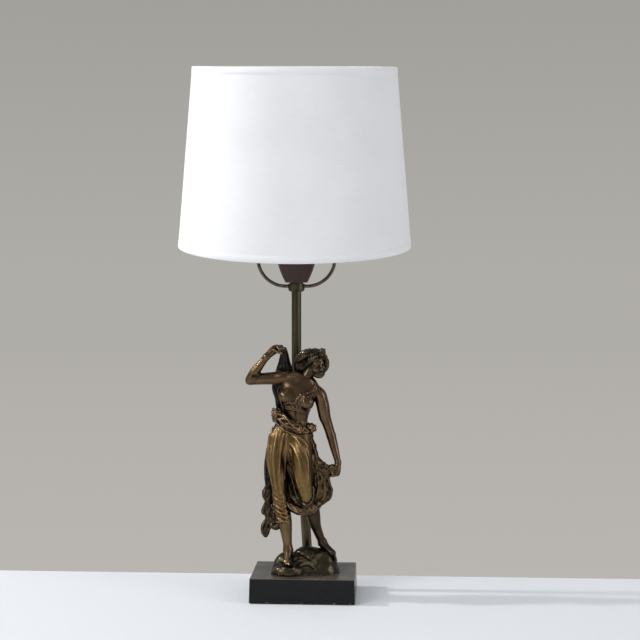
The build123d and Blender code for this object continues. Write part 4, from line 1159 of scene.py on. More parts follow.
# %% The cloak's flying end
TAIL_TOP = RIGHT_KNEE + at(-13.2, 14, 8)
TAIL_CORE = [
    (0, 0, 0),
    (1, -1, -5),
    (0.8, -1, -14),
    (1.2, -1, -20),
    (1.0, -1.5, -29),
    (2.4, -2, -37),
    (2.4, -3, -42),
]
TAIL_CURLS = [
    ([(-37, 3, 112), (-40.5, 1, 106), (-40, 0, 100), (-36, -1, 95)], 2.6, 1.6),
    ([(-36, 2, 110), (-34.5, 0, 103), (-36, 0, 95), (-34, -2, 88)], 2.8, 2.0),
    ([(-38, 0, 96), (-41.5, -1, 88), (-41, -2, 84), (-37, -2, 84), (-35, -3, 79)], 2.2, 1.6),
    ([(-39, 0, 77), (-42.0, -2, 71), (-41.5, -3, 64.5), (-39.8, -3, 61.0)], 2.3, 1.7),
    ([(-41.5, -2, 64), (-38.5, -3, 61.5), (-36.5, -3, 66), (-34, -4, 70)], 1.8, 1.4),
    ([(-36, -2, 88), (-36, -3, 80), (-37.5, -3, 73), (-39.5, -3, 66)], 2.1, 1.6),
    ([(-33, -4, 92), (-29, -5, 88), (-30, -6, 82), (-26, -6, 78)], 2.4, 1.8),
    ([(-35, -3, 74), (-30, -5, 70.5), (-26, -6, 71.5), (-22, -6, 77)], 3.0, 2.6),
    ([(-34, 0, 86), (-30, -2, 80), (-25, -3, 82)], 4.2, 3.6),
    ([(-36, 0, 80), (-31, -2, 76), (-26, -3, 78)], 4.4, 4.0),
]
core_path = smooth_path([TAIL_TOP + at(*step) for step in TAIL_CORE], 4)
tail_paths = [(smooth_path(points, 4), thick, thin) for points, thick, thin in TAIL_CURLS]


def tail_drapery(p):
    form = bead(p, core_path, 4.4, 2.4)
    for path, thick, thin in tail_paths:
        form = join(form, bead(p, path, thick, thin), 1.4)
    creases = crests(p[:, 0] * 0.8 - p[:, 2] * 0.5 + clouds(p, 4.0))
    return form - 0.3 * creases - 0.25 * clouds(p, 1.8)


cast("tail_drapery", tail_drapery, (-48, -14, 56), (-16, 10, 118))


# %% [markdown]
# The arms are long and slender. The raised one shows its elbow and the bulge of the forearm, and
# its hand closes over the cloak's end. Fingers are short rolls, each bent once, that curl
# round the cloth.


# %% The arms
def fingers(p, knuckles, spread, out, tuck, radius):
    """Four bent fingers in a row."""
    form = nothing(p)
    for i in range(4):
        base = knuckles + spread * (i - 1.5)
        bend = base + out
        form = join(form, roll(p, base, bend, radius, radius * 0.92), 0.5)
        form = join(form, roll(p, bend, bend + tuck, radius * 0.92, radius * 0.75), 0.5)
    return form


def right_arm(p):
    half_way = (RIGHT_SHOULDER + RIGHT_ELBOW) * 0.5 + at(0, 0, 0.3)
    upper = [RIGHT_SHOULDER + at(1, 0, -0.5), half_way, RIGHT_ELBOW + at(1, 0, 0)]
    form = limb(p, upper, [6.8, 6.2, 5.1])
    form = join(form, oval(p, RIGHT_SHOULDER + at(-2, -0.5, 1.5), (8.5, 6.4, 6.2)), 4)
    form = join(form, ball(p, RIGHT_ELBOW + at(-2.6, -0.5, -2.0), 2.4), 3)
    belly = RIGHT_ELBOW * 0.68 + RIGHT_WRIST * 0.32 + at(-1.0, 0, 0.6)
    form = join(form, limb(p, [RIGHT_ELBOW + at(0, 0, 1), belly, RIGHT_WRIST], [4.8, 5.0, 3.2]), 3)
    palm = RIGHT_FIST + at(-1.0, 0.5, -0.5)
    form = join(form, limb(p, [RIGHT_WRIST, palm, RIGHT_FIST + at(5, 3, -1)], [3.2, 4.5, 3.3]), 2.5)
    knuckles = RIGHT_FIST + at(3.4, -2.4, 2.8)
    out = at(2.2, -1.6, -2.6)
    form = join(form, fingers(p, knuckles, at(1.35, 1.15, 0.2), out, at(0.8, 2.0, -3.0), 1.25), 0.8)
    thumb = [at(-1, -3.4, -1.5), at(3, -4.6, -3.2), at(6, -3.2, -5)]
    form = join(form, limb(p, [RIGHT_FIST + step for step in thumb], [1.7, 1.4, 1.1]), 1.2)
    groove = limb(p, [RIGHT_ELBOW + at(3, -5.5, 4.5), RIGHT_ELBOW + at(14, -6.5, 3)], [0.5, 0.4])
    return cut_out(form, groove, 2.0)


def left_arm(p):
    root = LEFT_SHOULDER + at(-4, 0, 4.5)
    upper = [root, LEFT_SHOULDER + at(0.3, 0, -1), LEFT_BICEP, LEFT_ELBOW]
    form = limb(p, upper, [6.8, 6.9, 5.7, 4.7])
    form = join(form, oval(p, LEFT_BICEP + at(-0.6, -1.0, 4), (5.3, 5.0, 12)), 3)
    belly = LEFT_ELBOW * 0.66 + LEFT_WRIST * 0.34
    form = join(form, limb(p, [LEFT_ELBOW, belly, LEFT_WRIST], [4.7, 4.5, 3.1]), 1.5)
    hand = [LEFT_WRIST, LEFT_FIST + at(0.5, 0, 4), LEFT_FIST]
    form = join(form, limb(p, hand, [3.1, 4.0, 3.9]), 1.5)
    knuckles = LEFT_FIST + at(-0.5, -3.4, 1.0)
    out = at(-3.4, -1.2, -0.6)
    form = join(form, fingers(p, knuckles, at(0.2, -0.5, -1.9), out, at(-1.2, 2.4, 0.2), 1.3), 0.8)
    thumb = [at(-1, -2.5, 5.5), at(-4.5, -3.4, 6.5), at(-7, -2.6, 5)]
    return join(form, limb(p, [LEFT_FIST + step for step in thumb], [1.6, 1.4, 1.1]), 1.2)


cast("right_arm", right_arm, (-64, -18, 208), (-8, 8, 262))
cast("left_arm", left_arm, (4, -18, 116), (44, 10, 220))

# %% [markdown]
# ## The head
# The head is modelled in its own axes, on the proportions that any drawing book gives: the eyes
# half way down, the nose's foot half way from there to the chin, the mouth a third below it. The
# face is a plain, calm one. Then the whole head is turned to her left and bowed.

# %% The head's axes
FORWARD = at(0.50, -0.83, -0.24)
FORWARD = FORWARD / np.linalg.norm(FORWARD)
UP_HINT = at(-0.27, 0.10, 0.96)
ACROSS = np.cross(FORWARD, UP_HINT)
ACROSS = ACROSS / np.linalg.norm(ACROSS)
UPWARD = np.cross(ACROSS, FORWARD)
HEAD_AXES = np.stack([ACROSS, FORWARD, UPWARD], 1).astype(np.float32)
FACE = HEAD + at(0.5, 0, -0.5)


def in_face(p):
    """Points in the head's own axes: across, forward, up."""
    return (p - FACE) @ HEAD_AXES


def face(q):
    """The head in its own axes, in millimetres; q is across, forward, up."""
    side = q * np.array([-1, 1, 1], np.float32)
    form = oval(q, at(0, -1.5, 3.5), (8.3, 10.2, 9.8))
    form = join(form, oval(q, at(0, 2.2, -3.0), (7.0, 7.0, 10.2)), 3)
    form = join(form, oval(q, at(0, 5.6, -11.0), (3.4, 3.0, 3.0)), 3)
    for h in (q, side):
        form = join(form, roll(h, at(6.4, -1.0, -4.0), at(3.0, 4.4, -10.6), 2.4, 2.6), 3)
        form = join(form, oval(h, at(4.3, 5.4, -4.3), (2.7, 2.6, 2.4)), 3)
        form = cut_out(form, oval(h, at(3.3, 10.0, 0.2), (2.7, 2.4, 1.9)), 1.6)
        form = join(form, oval(h, at(3.3, 6.9, 0.0), (1.9, 1.6, 1.25)), 0.5)
        form = join(form, roll(h, at(1.8, 8.6, 2.6), at(5.4, 6.9, 2.5), 0.5, 0.4), 2.2)
        form = join(form, roll(h, at(1.8, 8.3, 0.9), at(5.0, 7.2, 0.5), 0.35, 0.3), 0.6)
        form = join(form, ball(h, at(1.15, 9.6, -4.5), 0.85), 0.8)
        form = join(form, oval(h, at(7.9, -1.0, -1.0), (1.0, 1.8, 2.9)), 0.8)
    form = join(form, roll(q, at(0, 9.0, 2.2), at(0, 11.0, -3.8), 0.85, 1.1), 1.2)
    form = join(form, oval(q, at(0, 8.6, -7.0), (2.5, 1.3, 0.75)), 0.7)
    form = join(form, oval(q, at(0, 8.4, -8.5), (2.1, 1.3, 0.8)), 0.7)
    form = cut_out(form, roll(q, at(-2.2, 9.7, -7.7), at(2.2, 9.7, -7.7), 0.25, 0.25), 0.5)
    return join(form, ball(q, at(0, 7.2, -11.6), 1.9), 2)


def figure_head(p):
    form = face(in_face(p))
    throat = [NECK + at(-3.0, 1, -7), NECK + at(1.5, 0.5, 1), HEAD + at(-2.0, 2, -5)]
    form = join(form, limb(p, throat, [7.6, 6.4, 5.8]), 3)
    tendon = roll(p, NECK + at(1.0, -5.4, -5), HEAD + at(-7.0, 0, -3), 1.5, 1.3)
    return join(form, tendon, 2.5)


cast("figure_head", figure_head, (-12, -20, 214), (28, 12, 256), grain=0.75)

# %% [markdown]
# Her hair is swept back from the face in waves, into a roll at the side and a knot behind the
# neck. It is one mass with strands combed into it, which are fine crests round a point in front
# of the face.


# %% The hair
WING = [(7.0, -7.0, 250.5), (1.0, -7.5, 248.5), (-4.0, -6.0, 244.5), (-8.0, -3.5, 240.0)]
UNDER_WING = [(5.0, -8.5, 246.5), (0.5, -8.5, 244.5), (-3.5, -7.0, 241.5), (-6.5, -4.0, 238.5)]
FALL = [(20.0, -8.5, 247.0), (23.0, -7.0, 241.0), (23.2, -5.5, 234.5), (21.0, -4.0, 229.0)]
wing_path, under_path, fall_path = (smooth_path(line) for line in (WING, UNDER_WING, FALL))
STRAND_PITCH = 1.5
STRAND_DEPTH = 0.6
COMB_POINT = at(16, -14, 236)
TEMPLE_WAVE = [(3.0, 6.6, 10.0), (7.4, 3.8, 6.5), (9.2, -1.0, 1.0), (8.4, -5.5, -4.0)]


def combed(p):
    """Strands that run round the comb point."""
    out = np.linalg.norm((p - COMB_POINT) * at(1.0, 0.5, 1.0), axis=1)
    return STRAND_DEPTH * crests(math.pi * (out + 0.8 * clouds(p, 4.0)) / STRAND_PITCH)


def figure_hair(p):
    q = in_face(p)
    form = oval(q, at(0, -2.4, 4.6), (9.6, 10.8, 10.2))
    form = cut_out(form, oval(q, at(0, 9.5, -3.5), (6.9, 8.5, 9.8)), 1.5)
    for side in (-1, 1):
        wave = [at(side * x, y, z) for x, y, z in TEMPLE_WAVE]
        form = join(form, limb(q, wave, [2.1, 2.5, 2.6, 2.5]), 1.5)
    form = join(form, oval(q, at(0, -9.5, -2.0), (6.5, 4.8, 5.6)), 3)
    form = join(form, oval(p, at(-1.5, 1.0, 234.5), (6.6, 6.2, 8.6)), 3)
    form = join(form, oval(p, at(2.5, -1.0, 242.5), (6.0, 6.0, 6.0)), 3)
    form = join(form, bead(p, wing_path, 2.9, 2.1), 1.2)
    form = join(form, bead(p, under_path, 2.2, 1.6), 1.0)
    form = join(form, bead(p, fall_path, 2.3, 1.4), 1.5)
    return form - combed(p)


cast("figure_hair", figure_hair, (-15, -20, 222), (30, 14, 258), grain=0.75)

# %% [markdown]
# A flower is tucked into the hair at her temple. The mechanical model leaves it out, because it is
# thin trim, so this casting stands for no node. It is five cupped petals on a short stalk.

# %% The flower at her temple
FLOWER = at(19.2, -8.6, 249.6)
FLOWER_FRONT = at(0.45, -0.85, 0.28)


def head_flower(p):
    """Five cupped petals round a bud, facing forward and up."""
    form = ball(p, FLOWER + FLOWER_FRONT * 0.8, 1.2)
    side = np.cross(FLOWER_FRONT, at(0, 0, 1))
    over = np.cross(side, FLOWER_FRONT)
    for i in range(5):
        turn = 2 * math.pi * i / 5
        petal = FLOWER + 2.2 * (side * math.cos(turn) + over * math.sin(turn))
        form = join(form, oval(p, petal.astype(np.float32), (1.7, 1.2, 1.7)), 0.35)
    return join(form, roll(p, FLOWER, FACE + at(1, -3, 6), 2.0, 2.6), 1.2)


cast("head_flower", head_flower, (12, -16, 240), (24, -3, 254), grain=0.75)

# %% [markdown]
# The wreath is a ring of small leaves round the crown. The same leaf is set many times along a
# path, and this is what Geometry Nodes are for: a curve is turned to points, each point gets a
# leaf turned along the curve, and a fixed seed turns and sizes them a little. The tree has named
# inputs for its sizes.


# %% One leaf and the path
LEAF_OUTLINE = [(0.0, 0.02), (0.18, 0.20), (0.42, 0.30), (0.70, 0.20), (0.90, 0.07), (1.0, 0.01)]
LEAF_ARCH = 0.16
RIB_ABOVE = 0.10
RIB_BELOW = 0.14


def leaf_mesh():
    """A pointed leaf with a raised rib, 1 m long, lying along X."""
    verts = []
    faces = []
    for x, half in LEAF_OUTLINE:
        lift = LEAF_ARCH * math.sin(math.pi * x)
        edge = lift * 0.4
        verts += [(x, -half, edge), (x, 0, lift + RIB_ABOVE)]
        verts += [(x, half, edge), (x, 0, lift - RIB_BELOW)]
    for i in range(len(LEAF_OUTLINE) - 1):
        for k in range(4):
            a = 4 * i + k
            b = 4 * i + (k + 1) % 4
            faces.append((a, b, b + 4, a + 4))
    faces += [(3, 2, 1, 0), (20, 21, 22, 23)]
    mesh = bpy.data.meshes.new("leaf")
    mesh.from_pydata(verts, [], [side[::-1] for side in faces])
    return mesh


WREATH_HEIGHT = 5.6
WREATH_HALF = (10.4, 11.6)
WREATH_BACK = 2.2
WREATH_SLOPE = 0.22  # it sits higher in front


def wreath_point(turn):
    """A point of the wreath's ring, in the lamp's frame."""
    x = WREATH_HALF[0] * math.cos(turn)
    y = WREATH_HALF[1] * math.sin(turn) - WREATH_BACK
    return FACE + HEAD_AXES @ at(x, y, WREATH_HEIGHT + WREATH_SLOPE * y)


PATH_POINTS = 24
ring_points = [wreath_point(2 * math.pi * i / PATH_POINTS) for i in range(PATH_POINTS)]
wreath_curve = bpy.data.curves.new("wreath_path", "CURVE")
wreath_curve.dimensions = "3D"
spline = wreath_curve.splines.new("POLY")
spline.points.add(len(ring_points) - 1)
for point, place in zip(spline.points, ring_points):
    point.co = (*(place * MM), 1)
spline.use_cyclic_u = True
print("wreath path:", len(ring_points), "points")


# %% The tree that sets the leaves
LEAF_SIZES = {"Leaf length": 0.0032, "Spacing": 0.0011, "Spread": 0.9, "Stalk radius": 0.0008}
LEAF_TIP = (-0.9, 0.2)  # how far a leaf may tip down or up, in radians
SMALLEST_LEAF = 0.75  # of the leaf's length


def random_between(tree, low, high, seed):
    """A number for each leaf."""
    inputs = {2: low, 3: high, "Seed": seed}
    return add_node(tree, "FunctionNodeRandomValue", inputs, data_type="FLOAT").outputs[1]


def leaf_tree(leaf, material):
    tree = bpy.data.node_groups.new("leaves_on_a_path", "GeometryNodeTree")
    sockets = tree.interface
    sockets.new_socket("Path", in_out="INPUT", socket_type="NodeSocketGeometry")
    for name, value in LEAF_SIZES.items():
        size_socket = sockets.new_socket(name, in_out="INPUT", socket_type="NodeSocketFloat")
        size_socket.default_value = value
    sockets.new_socket("Seed", in_out="INPUT", socket_type="NodeSocketInt").default_value = 7
    sockets.new_socket("Geometry", in_out="OUTPUT", socket_type="NodeSocketGeometry")
    given = add_node(tree, "NodeGroupInput").outputs
    points = add_node(
        tree,
        "GeometryNodeCurveToPoints",
        {"Curve": given["Path"], "Length": given["Spacing"]},
        mode="LENGTH",
    )
    other_way = arith(tree, "MULTIPLY", given["Spread"], -1.0)
    yaw = random_between(tree, other_way, given["Spread"], given["Seed"])
    tip_seed = arith(tree, "ADD", given["Seed"], 3.0)
    tip = random_between(tree, *LEAF_TIP, tip_seed)
    turn = add_node(tree, "ShaderNodeCombineXYZ", {"X": yaw, "Y": tip, "Z": yaw})
    along = add_node(
        tree,
        "FunctionNodeAlignRotationToVector",
        {"Vector": points.outputs["Tangent"]},
        axis="X",
    )
    euler = add_node(tree, "FunctionNodeEulerToRotation", {"Euler": turn.outputs[0]})
    turned = add_node(
        tree,
        "FunctionNodeRotateRotation",
        {"Rotation": along.outputs[0], "Rotate By": euler.outputs[0]},
        rotation_space="LOCAL",
    )
    least = arith(tree, "MULTIPLY", given["Leaf length"], SMALLEST_LEAF)
    size = random_between(tree, least, given["Leaf length"], given["Seed"])
    source = add_node(tree, "GeometryNodeObjectInfo", {"Object": leaf})
    leaves = {
        "Points": points.outputs["Points"],
        "Instance": source.outputs["Geometry"],
        "Rotation": turned.outputs[0],
        "Scale": size,
    }
    set_leaves = add_node(tree, "GeometryNodeInstanceOnPoints", leaves)
    real = add_node(tree, "GeometryNodeRealizeInstances", {"Geometry": set_leaves.outputs[0]})
    round_bar = {"Resolution": 8, "Radius": given["Stalk radius"]}
    circle = add_node(tree, "GeometryNodeCurvePrimitiveCircle", round_bar)
    swept = {"Curve": given["Path"], "Profile Curve": circle.outputs[0]}
    stalk = add_node(tree, "GeometryNodeCurveToMesh", swept)
    both = add_node(tree, "GeometryNodeJoinGeometry")
    tree.links.new(real.outputs[0], both.inputs[0])
    tree.links.new(stalk.outputs[0], both.inputs[0])
    finished = {"Geometry": both.outputs[0], "Material": material}
    finish = add_node(tree, "GeometryNodeSetMaterial", finished)
    tree.links.new(finish.outputs[0], add_node(tree, "NodeGroupOutput").inputs["Geometry"])
    return tree


def grow(name, path_object, tree, **inputs):
    """Runs a tree on an object, and gives its result back as a plain mesh object."""
    modifier = path_object.modifiers.new("grow", "NODES")
    modifier.node_group = tree
    given = [item for item in tree.interface.items_tree if item.in_out == "INPUT"]
    identifiers = {item.name: item.identifier for item in given}
    for label, value in inputs.items():
        modifier[identifiers[label.replace("_", " ")]] = value
    graph = bpy.context.evaluated_depsgraph_get()
    mesh = bpy.data.meshes.new_from_object(path_object.evaluated_get(graph))
    path_object.modifiers.remove(modifier)
    mesh.name = name
    grown = bpy.data.objects.new(name, mesh)
    bpy.context.collection.objects.link(grown)
    bpy.data.objects.remove(path_object)
    return grown


# %% [markdown]
# ## Patina
# Old bronze is a dark brown metal that shows gold where it was rubbed. Each vertex is told how
# far it stands out and how open the space before it is, and the finish turns that number into
# a colour: nearly black in hollows, brown on flats, gold on crests. The number also holds painted
# shade where the space before a vertex is closed in, and painted light on faces turned to the
# front. Clouds break the ramp up.

# %% Rub the patina, with painted light and shade
STEP_OUT = 3.2  # how far out the open space is looked at, in millimetres
FRONT_LIGHT_AND_WEAR = 0.34  # painted light on faces turned to the front, and hands' wear there
FRONT_FALL = 1.8
FRONT_LEVEL = 0.45
DEEP_SHADE_SHARE = 0.25
OPEN_FALL = 1.3
LEAF_WORN = 0.62


def whole_figure(p):
    """Distance to the nearest casting, up to FAR."""
    nearest = nothing(p)
    for _, form, low, high, _ in BRONZE_PIECES.values():
        near = ((p > low - 1) & (p < high + 1)).all(1)
        if near.any():
            nearest[near] = np.minimum(nearest[near], form(p[near]))
    return nearest


def rub_light_and_shade(piece, verts, normals, wear_light_and_shade):
    """Writes wear, painted front light and painted shade per vertex as the finish's attribute."""
    # painted shade: how closed in each vertex is, which darkens it
    free = np.clip(whole_figure(verts + normals * STEP_OUT) / STEP_OUT, 0, 1)
    # painted light: faces turned to the front are made lighter
    front = np.clip(-normals[:, 1], 0, 1) ** FRONT_FALL - FRONT_LEVEL
    unshaded = DEEP_SHADE_SHARE + (1 - DEEP_SHADE_SHARE) * free**OPEN_FALL
    level = np.clip((wear_light_and_shade + FRONT_LIGHT_AND_WEAR * front) * unshaded, 0, 1).astype(np.float32)
    piece.data.attributes.new("wear_light_and_shade", "FLOAT", "POINT").data.foreach_set("value", level)


for piece, form, _, _, verts in BRONZE_PIECES.values():
    normal = slope(form, verts)
    normal = normal / np.maximum(np.linalg.norm(normal, axis=1), 1e-6)[:, None]
    rub_light_and_shade(piece, verts, normal, worn_at(form, verts))
print("patina rubbed on", len(BRONZE_PIECES), "castings at", round(time.time() - started), "s")


# %% [markdown]
# The castings were not all rubbed alike: skin is smooth, trousers are bright, and the cloak is
# nearly black. The bunched cloth, the swag, the flying end and the left shin get darker copies of
# the bronze as painted shade, for they lie deep or face away from the light. All the castings
# share one finish, which is given a brown and a roughness for each.


# %% Bronze
# the share of each bronze's brown at each level of wear, painted light and painted shade
WEAR_AND_SHADE = ((0.08, 0.16), (0.30, 0.45), (0.50, 1.0), (0.70, 1.6), (0.95, 2.6))
PATCHY = 0.42
GRAINY = 0.18


def bronze_material(name, brown, rough):
    """Brown is the colour of a flat; hollows are nearly black and crests are golden."""
    made, tree, shader = new_material(name, Metallic=1.0, Coat_Weight=0.18, Coat_Roughness=0.22)
    place = object_place(tree)
    wear_light_and_shade = add_node(tree, "ShaderNodeAttribute", attribute_name="wear_light_and_shade").outputs["Fac"]
    patches = noise(tree, place, 0.011, 4)
    grain = noise(tree, place, 0.0014, 3)
    level = wear_light_and_shade
    for cloud, strength in ((patches, PATCHY), (grain, GRAINY)):
        drift = arith(tree, "MULTIPLY", arith(tree, "SUBTRACT", cloud, 0.5), strength)
        level = arith(tree, "ADD", level, drift)
    stops = [(at_level, tuple(share * part for part in brown)) for at_level, share in WEAR_AND_SHADE]
    tree.links.new(ramp(tree, level, stops), shader.inputs["Base Color"])
    polish = grey(tree, level, [(0.1, rough + 0.16), (0.5, rough), (0.9, rough - 0.12)])
    tree.links.new(polish, shader.inputs["Roughness"])
    bump(tree, shader, grain, 0.00025, 0.35)
    return made


BRONZES = {  # each one's brown, its roughness and the castings that have it
    "skin_bronze": ((0.062, 0.038, 0.019), 0.34, ["torso", "right_arm", "left_arm"]),
    "shin_bronze": ((0.076, 0.047, 0.022), 0.36, ["right_leg"]),
    "head_bronze": ((0.046, 0.030, 0.017), 0.36, ["figure_head"]),
    "hair_bronze": ((0.036, 0.026, 0.014), 0.38, ["figure_hair", "head_flower"]),
    "trouser_bronze": ((0.100, 0.061, 0.023), 0.44, ["trousers"]),
    "sash_bronze": ((0.072, 0.045, 0.022), 0.38, ["hip_sash", "sash_rosettes"]),
    # the next two are darker copies of the bronze: painted shade on castings that lie deep or face
    # away
    "shaded_bronze": ((0.046, 0.029, 0.013), 0.38, ["side_drapery", "skirt_swag"]),
    "deep_shade_bronze": ((0.026, 0.017, 0.009), 0.42, ["tail_drapery", "left_leg"]),
    "cloak_bronze": ((0.010, 0.008, 0.006), 0.46, ["back_cloak"]),
    "rock_bronze": ((0.041, 0.032, 0.017), 0.34, ["rock_base"]),
}
bronze = {name: bronze_material(name, brown, rough) for name, (brown, rough, _) in BRONZES.items()}
for name, (_, _, castings) in BRONZES.items():
    for casting in castings:
        piece = BRONZE_PIECES[casting][0]
        piece.data.materials.append(bronze[name])
        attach(piece, "base")
        if casting in nodes:
            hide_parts(casting)
print("bronze on", len(BRONZE_PIECES), "pieces")

# %% [markdown]
# Now that its bronze exists, the wreath can be grown. It is rubbed like the castings, with one
# level of wear all over, because a leaf has no hollows worth telling, and it gets the same painted
# front light and painted shade.

# %% Grow the wreath
leaf_object = bpy.data.objects.new("leaf", leaf_mesh())
path_object = bpy.data.objects.new("wreath_path", wreath_curve)
bpy.context.collection.objects.link(path_object)
wreath_tree = leaf_tree(leaf_object, bronze["hair_bronze"])
wreath = grow("bronze_hair_wreath", path_object, wreath_tree, Seed=11)
bpy.data.objects.remove(leaf_object)
leaf_verts = np.empty(len(wreath.data.vertices) * 3, np.float32)
wreath.data.vertices.foreach_get("co", leaf_verts)
leaf_normals = np.empty_like(leaf_verts)
wreath.data.vertices.foreach_get("normal", leaf_normals)
leaf_verts = leaf_verts.reshape(-1, 3) / MM
leaf_worn = np.full(len(leaf_verts), LEAF_WORN, np.float32)
rub_light_and_shade(wreath, leaf_verts, leaf_normals.reshape(-1, 3), leaf_worn)
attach(wreath, "base")
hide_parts("hair_wreath")
print("wreath:", len(wreath.data.polygons), "faces")


# %% [markdown]
# The plinth is a wooden block under thick black lacquer. The lacquer is glossy, a little cloudy,
# and chipped along the bottom edges, where the pale ground shows. Its top is made lighter, with
# dust and with a painted sheen for the light it reflects there, which the finish knows by the
# surface's direction.


# %% Lacquer
CHIP_BAND = 4.2 * MM
GROUND = (0.30, 0.22, 0.15)
# dust and painted sheen: the lighter colour of the plinth's top
DUST_AND_SHEEN = (0.135, 0.112, 0.080)
LACQUER = [(0.3, (0.001, 0.001, 0.001)), (0.7, (0.003, 0.003, 0.003))]


def lacquer_material():
    made, tree, shader = new_material("black_lacquer", Specular_IOR_Level=0.28)
    place = object_place(tree)
    axes = add_node(tree, "ShaderNodeSeparateXYZ", {"Vector": place})
    low_edge = arith(tree, "SUBTRACT", CHIP_BAND, axes.outputs["Z"])
    chips = noise(tree, place, 0.0035, 5, 0.7)
    level = arith(tree, "ADD", arith(tree, "MULTIPLY", low_edge, 60.0), chips)
    chipped = grey(tree, level, [(0.755, 0.0), (0.775, 1.0)])
    base = ramp(tree, noise(tree, place, 0.02), LACQUER)
    facing = add_node(tree, "ShaderNodeTexCoord").outputs["Normal"]
    upward = add_node(tree, "ShaderNodeSeparateXYZ", {"Vector": facing}).outputs["Z"]
    lying = arith(tree, "MULTIPLY", upward, noise(tree, place, 0.03, 4))
    # dust and painted sheen: the top is lighter where the surface faces up
    dusted_and_lit = blend_colours(tree, grey(tree, lying, [(0.2, 0.0), (0.75, 1.0)]), base, DUST_AND_SHEEN)
    tree.links.new(blend_colours(tree, chipped, dusted_and_lit, GROUND), shader.inputs["Base Color"])
    smear = noise(tree, place, 0.016, 4, 0.6, stretch=(0.5, 1, 1))
    tree.links.new(grey(tree, smear, [(0.3, 0.20), (0.7, 0.32)]), shader.inputs["Roughness"])
    bump(tree, shader, arith(tree, "SUBTRACT", noise(tree, place, 0.006), chipped), 0.0003, 0.15)
    return made


def dress(names, material):
    """Gives CAD nodes their finish, each through its object's own slots."""
    for name in names:
        for slot in nodes[name].material_slots:
            slot.link = "OBJECT"
            slot.material = material
    print(material.name, "on", ", ".join(names))


dress(["plinth"], lacquer_material())


# %% [markdown]
# The other pieces are the mechanical model's own solids, whose shapes are right as they are. They
# are of two kinds: metals, whose colour and polish drift, and everything moulded, glazed or
# pressed, which is mottled a little. Each row below gives a finish and the pieces that have it.


# %% Metals, mouldings, glass and felt
def metal(name, dark, light, rough, patch=0.006, stretch=(1, 1, 1)):
    """A metal whose colour and polish drift from patch to patch."""
    made, tree, shader = new_material(name, Metallic=1.0)
    place = object_place(tree)
    drift = noise(tree, place, patch, 4, 0.6, stretch)
    tree.links.new(ramp(tree, drift, [(0.35, dark), (0.68, light)]), shader.inputs["Base Color"])
    polish = grey(tree, drift, [(0.3, rough + 0.12), (0.7, rough)])
    tree.links.new(polish, shader.inputs["Roughness"])
    bump(tree, shader, noise(tree, place, patch * 0.12), 0.0002, 0.2)
    return made


def moulding(name, dark, light, rough):
    """A moulded or glazed surface, mottled a little."""
    made, tree, shader = new_material(name, Specular_IOR_Level=0.35)
    place = object_place(tree)
    cloud = noise(tree, place, 0.005, 4)
    tree.links.new(ramp(tree, cloud, [(0.3, dark), (0.7, light)]), shader.inputs["Base Color"])
    polish = grey(tree, cloud, [(0.3, rough), (0.7, rough + 0.08)])
    tree.links.new(polish, shader.inputs["Roughness"])
    bump(tree, shader, noise(tree, place, 0.0008), 0.0001, 0.25)
    return made


DRAWN_OUT = (1, 1, 0.12)  # patches that run up the tube
METALS = {  # each one's dark and light patches, and the roughness where it is polished
    "wire_bronze": ((0.085, 0.074, 0.052), (0.16, 0.14, 0.10), 0.32),
    "plain_steel": ((0.42, 0.42, 0.42), (0.60, 0.60, 0.59), 0.30),
    "contact_brass": ((0.55, 0.38, 0.15), (0.78, 0.60, 0.30), 0.25),
    "plated_cap": ((0.55, 0.54, 0.50), (0.75, 0.74, 0.70), 0.22),
    "drawn_tungsten": ((0.2, 0.2, 0.21), (0.35, 0.35, 0.36), 0.4),
}
MOULDINGS = {  # the same for what isn't metal
    "brown_moulding": ((0.030, 0.013, 0.010), (0.044, 0.019, 0.014), 0.45),
    "porcelain": ((0.74, 0.73, 0.69), (0.84, 0.83, 0.79), 0.18),
    "black_glass": ((0.010, 0.010, 0.012), (0.018, 0.018, 0.022), 0.12),
    "opal_glass": ((0.86, 0.86, 0.84), (0.92, 0.92, 0.90), 0.16),
    "clear_glass": ((0.70, 0.73, 0.73), (0.80, 0.82, 0.82), 0.08),
    "green_felt": ((0.030, 0.045, 0.030), (0.055, 0.075, 0.052), 0.90),
    "white_enamel": ((0.80, 0.80, 0.78), (0.86, 0.86, 0.84), 0.30),
}
WEARERS = {  # the nodes that have each finish
    "wire_bronze": "harp harp_saddle tilt_fork tilt_screw tilt_thumb_nut tilt_tongue finial",
    "plain_steel": "figure_screws figure_washers stem_washer stem_nut hub_grub_screw holder_nut",
    "contact_brass": "holder_screw_shell terminal_screws centre_contact",
    "plated_cap": "bulb_cap bulb_contact",
    "drawn_tungsten": "bulb_filament",
    "brown_moulding": "holder_cup holder_sleeve cable_inlet_bush",
    "porcelain": "holder_insert",
    "black_glass": "bulb_insulator",
    "opal_glass": "bulb_glass",
    "clear_glass": "bulb_stem",
    "green_felt": "plinth_felt",
    "white_enamel": "shade_top_ring shade_bottom_ring shade_spider",
}
tube_bronze = ((0.050, 0.042, 0.024), (0.100, 0.086, 0.050), 0.26, 0.01, DRAWN_OUT)
dress(["stem_tube", "stem_collar", "hub", "holder_seat_washer"], metal("stem_bronze", *tube_bronze))
for finishes, make in ((METALS, metal), (MOULDINGS, moulding)):
    for finish, values in finishes.items():
        dress(WEARERS[finish].split(), make(finish, *values))


# %% [markdown]
# The shade is a fine white cloth bonded to a stiff film and rolled into a cone. It tips and turns,
# so its axis isn't upright: its joint tells where the axis is, and the radii are read from the
# solid that the cloth stands for.

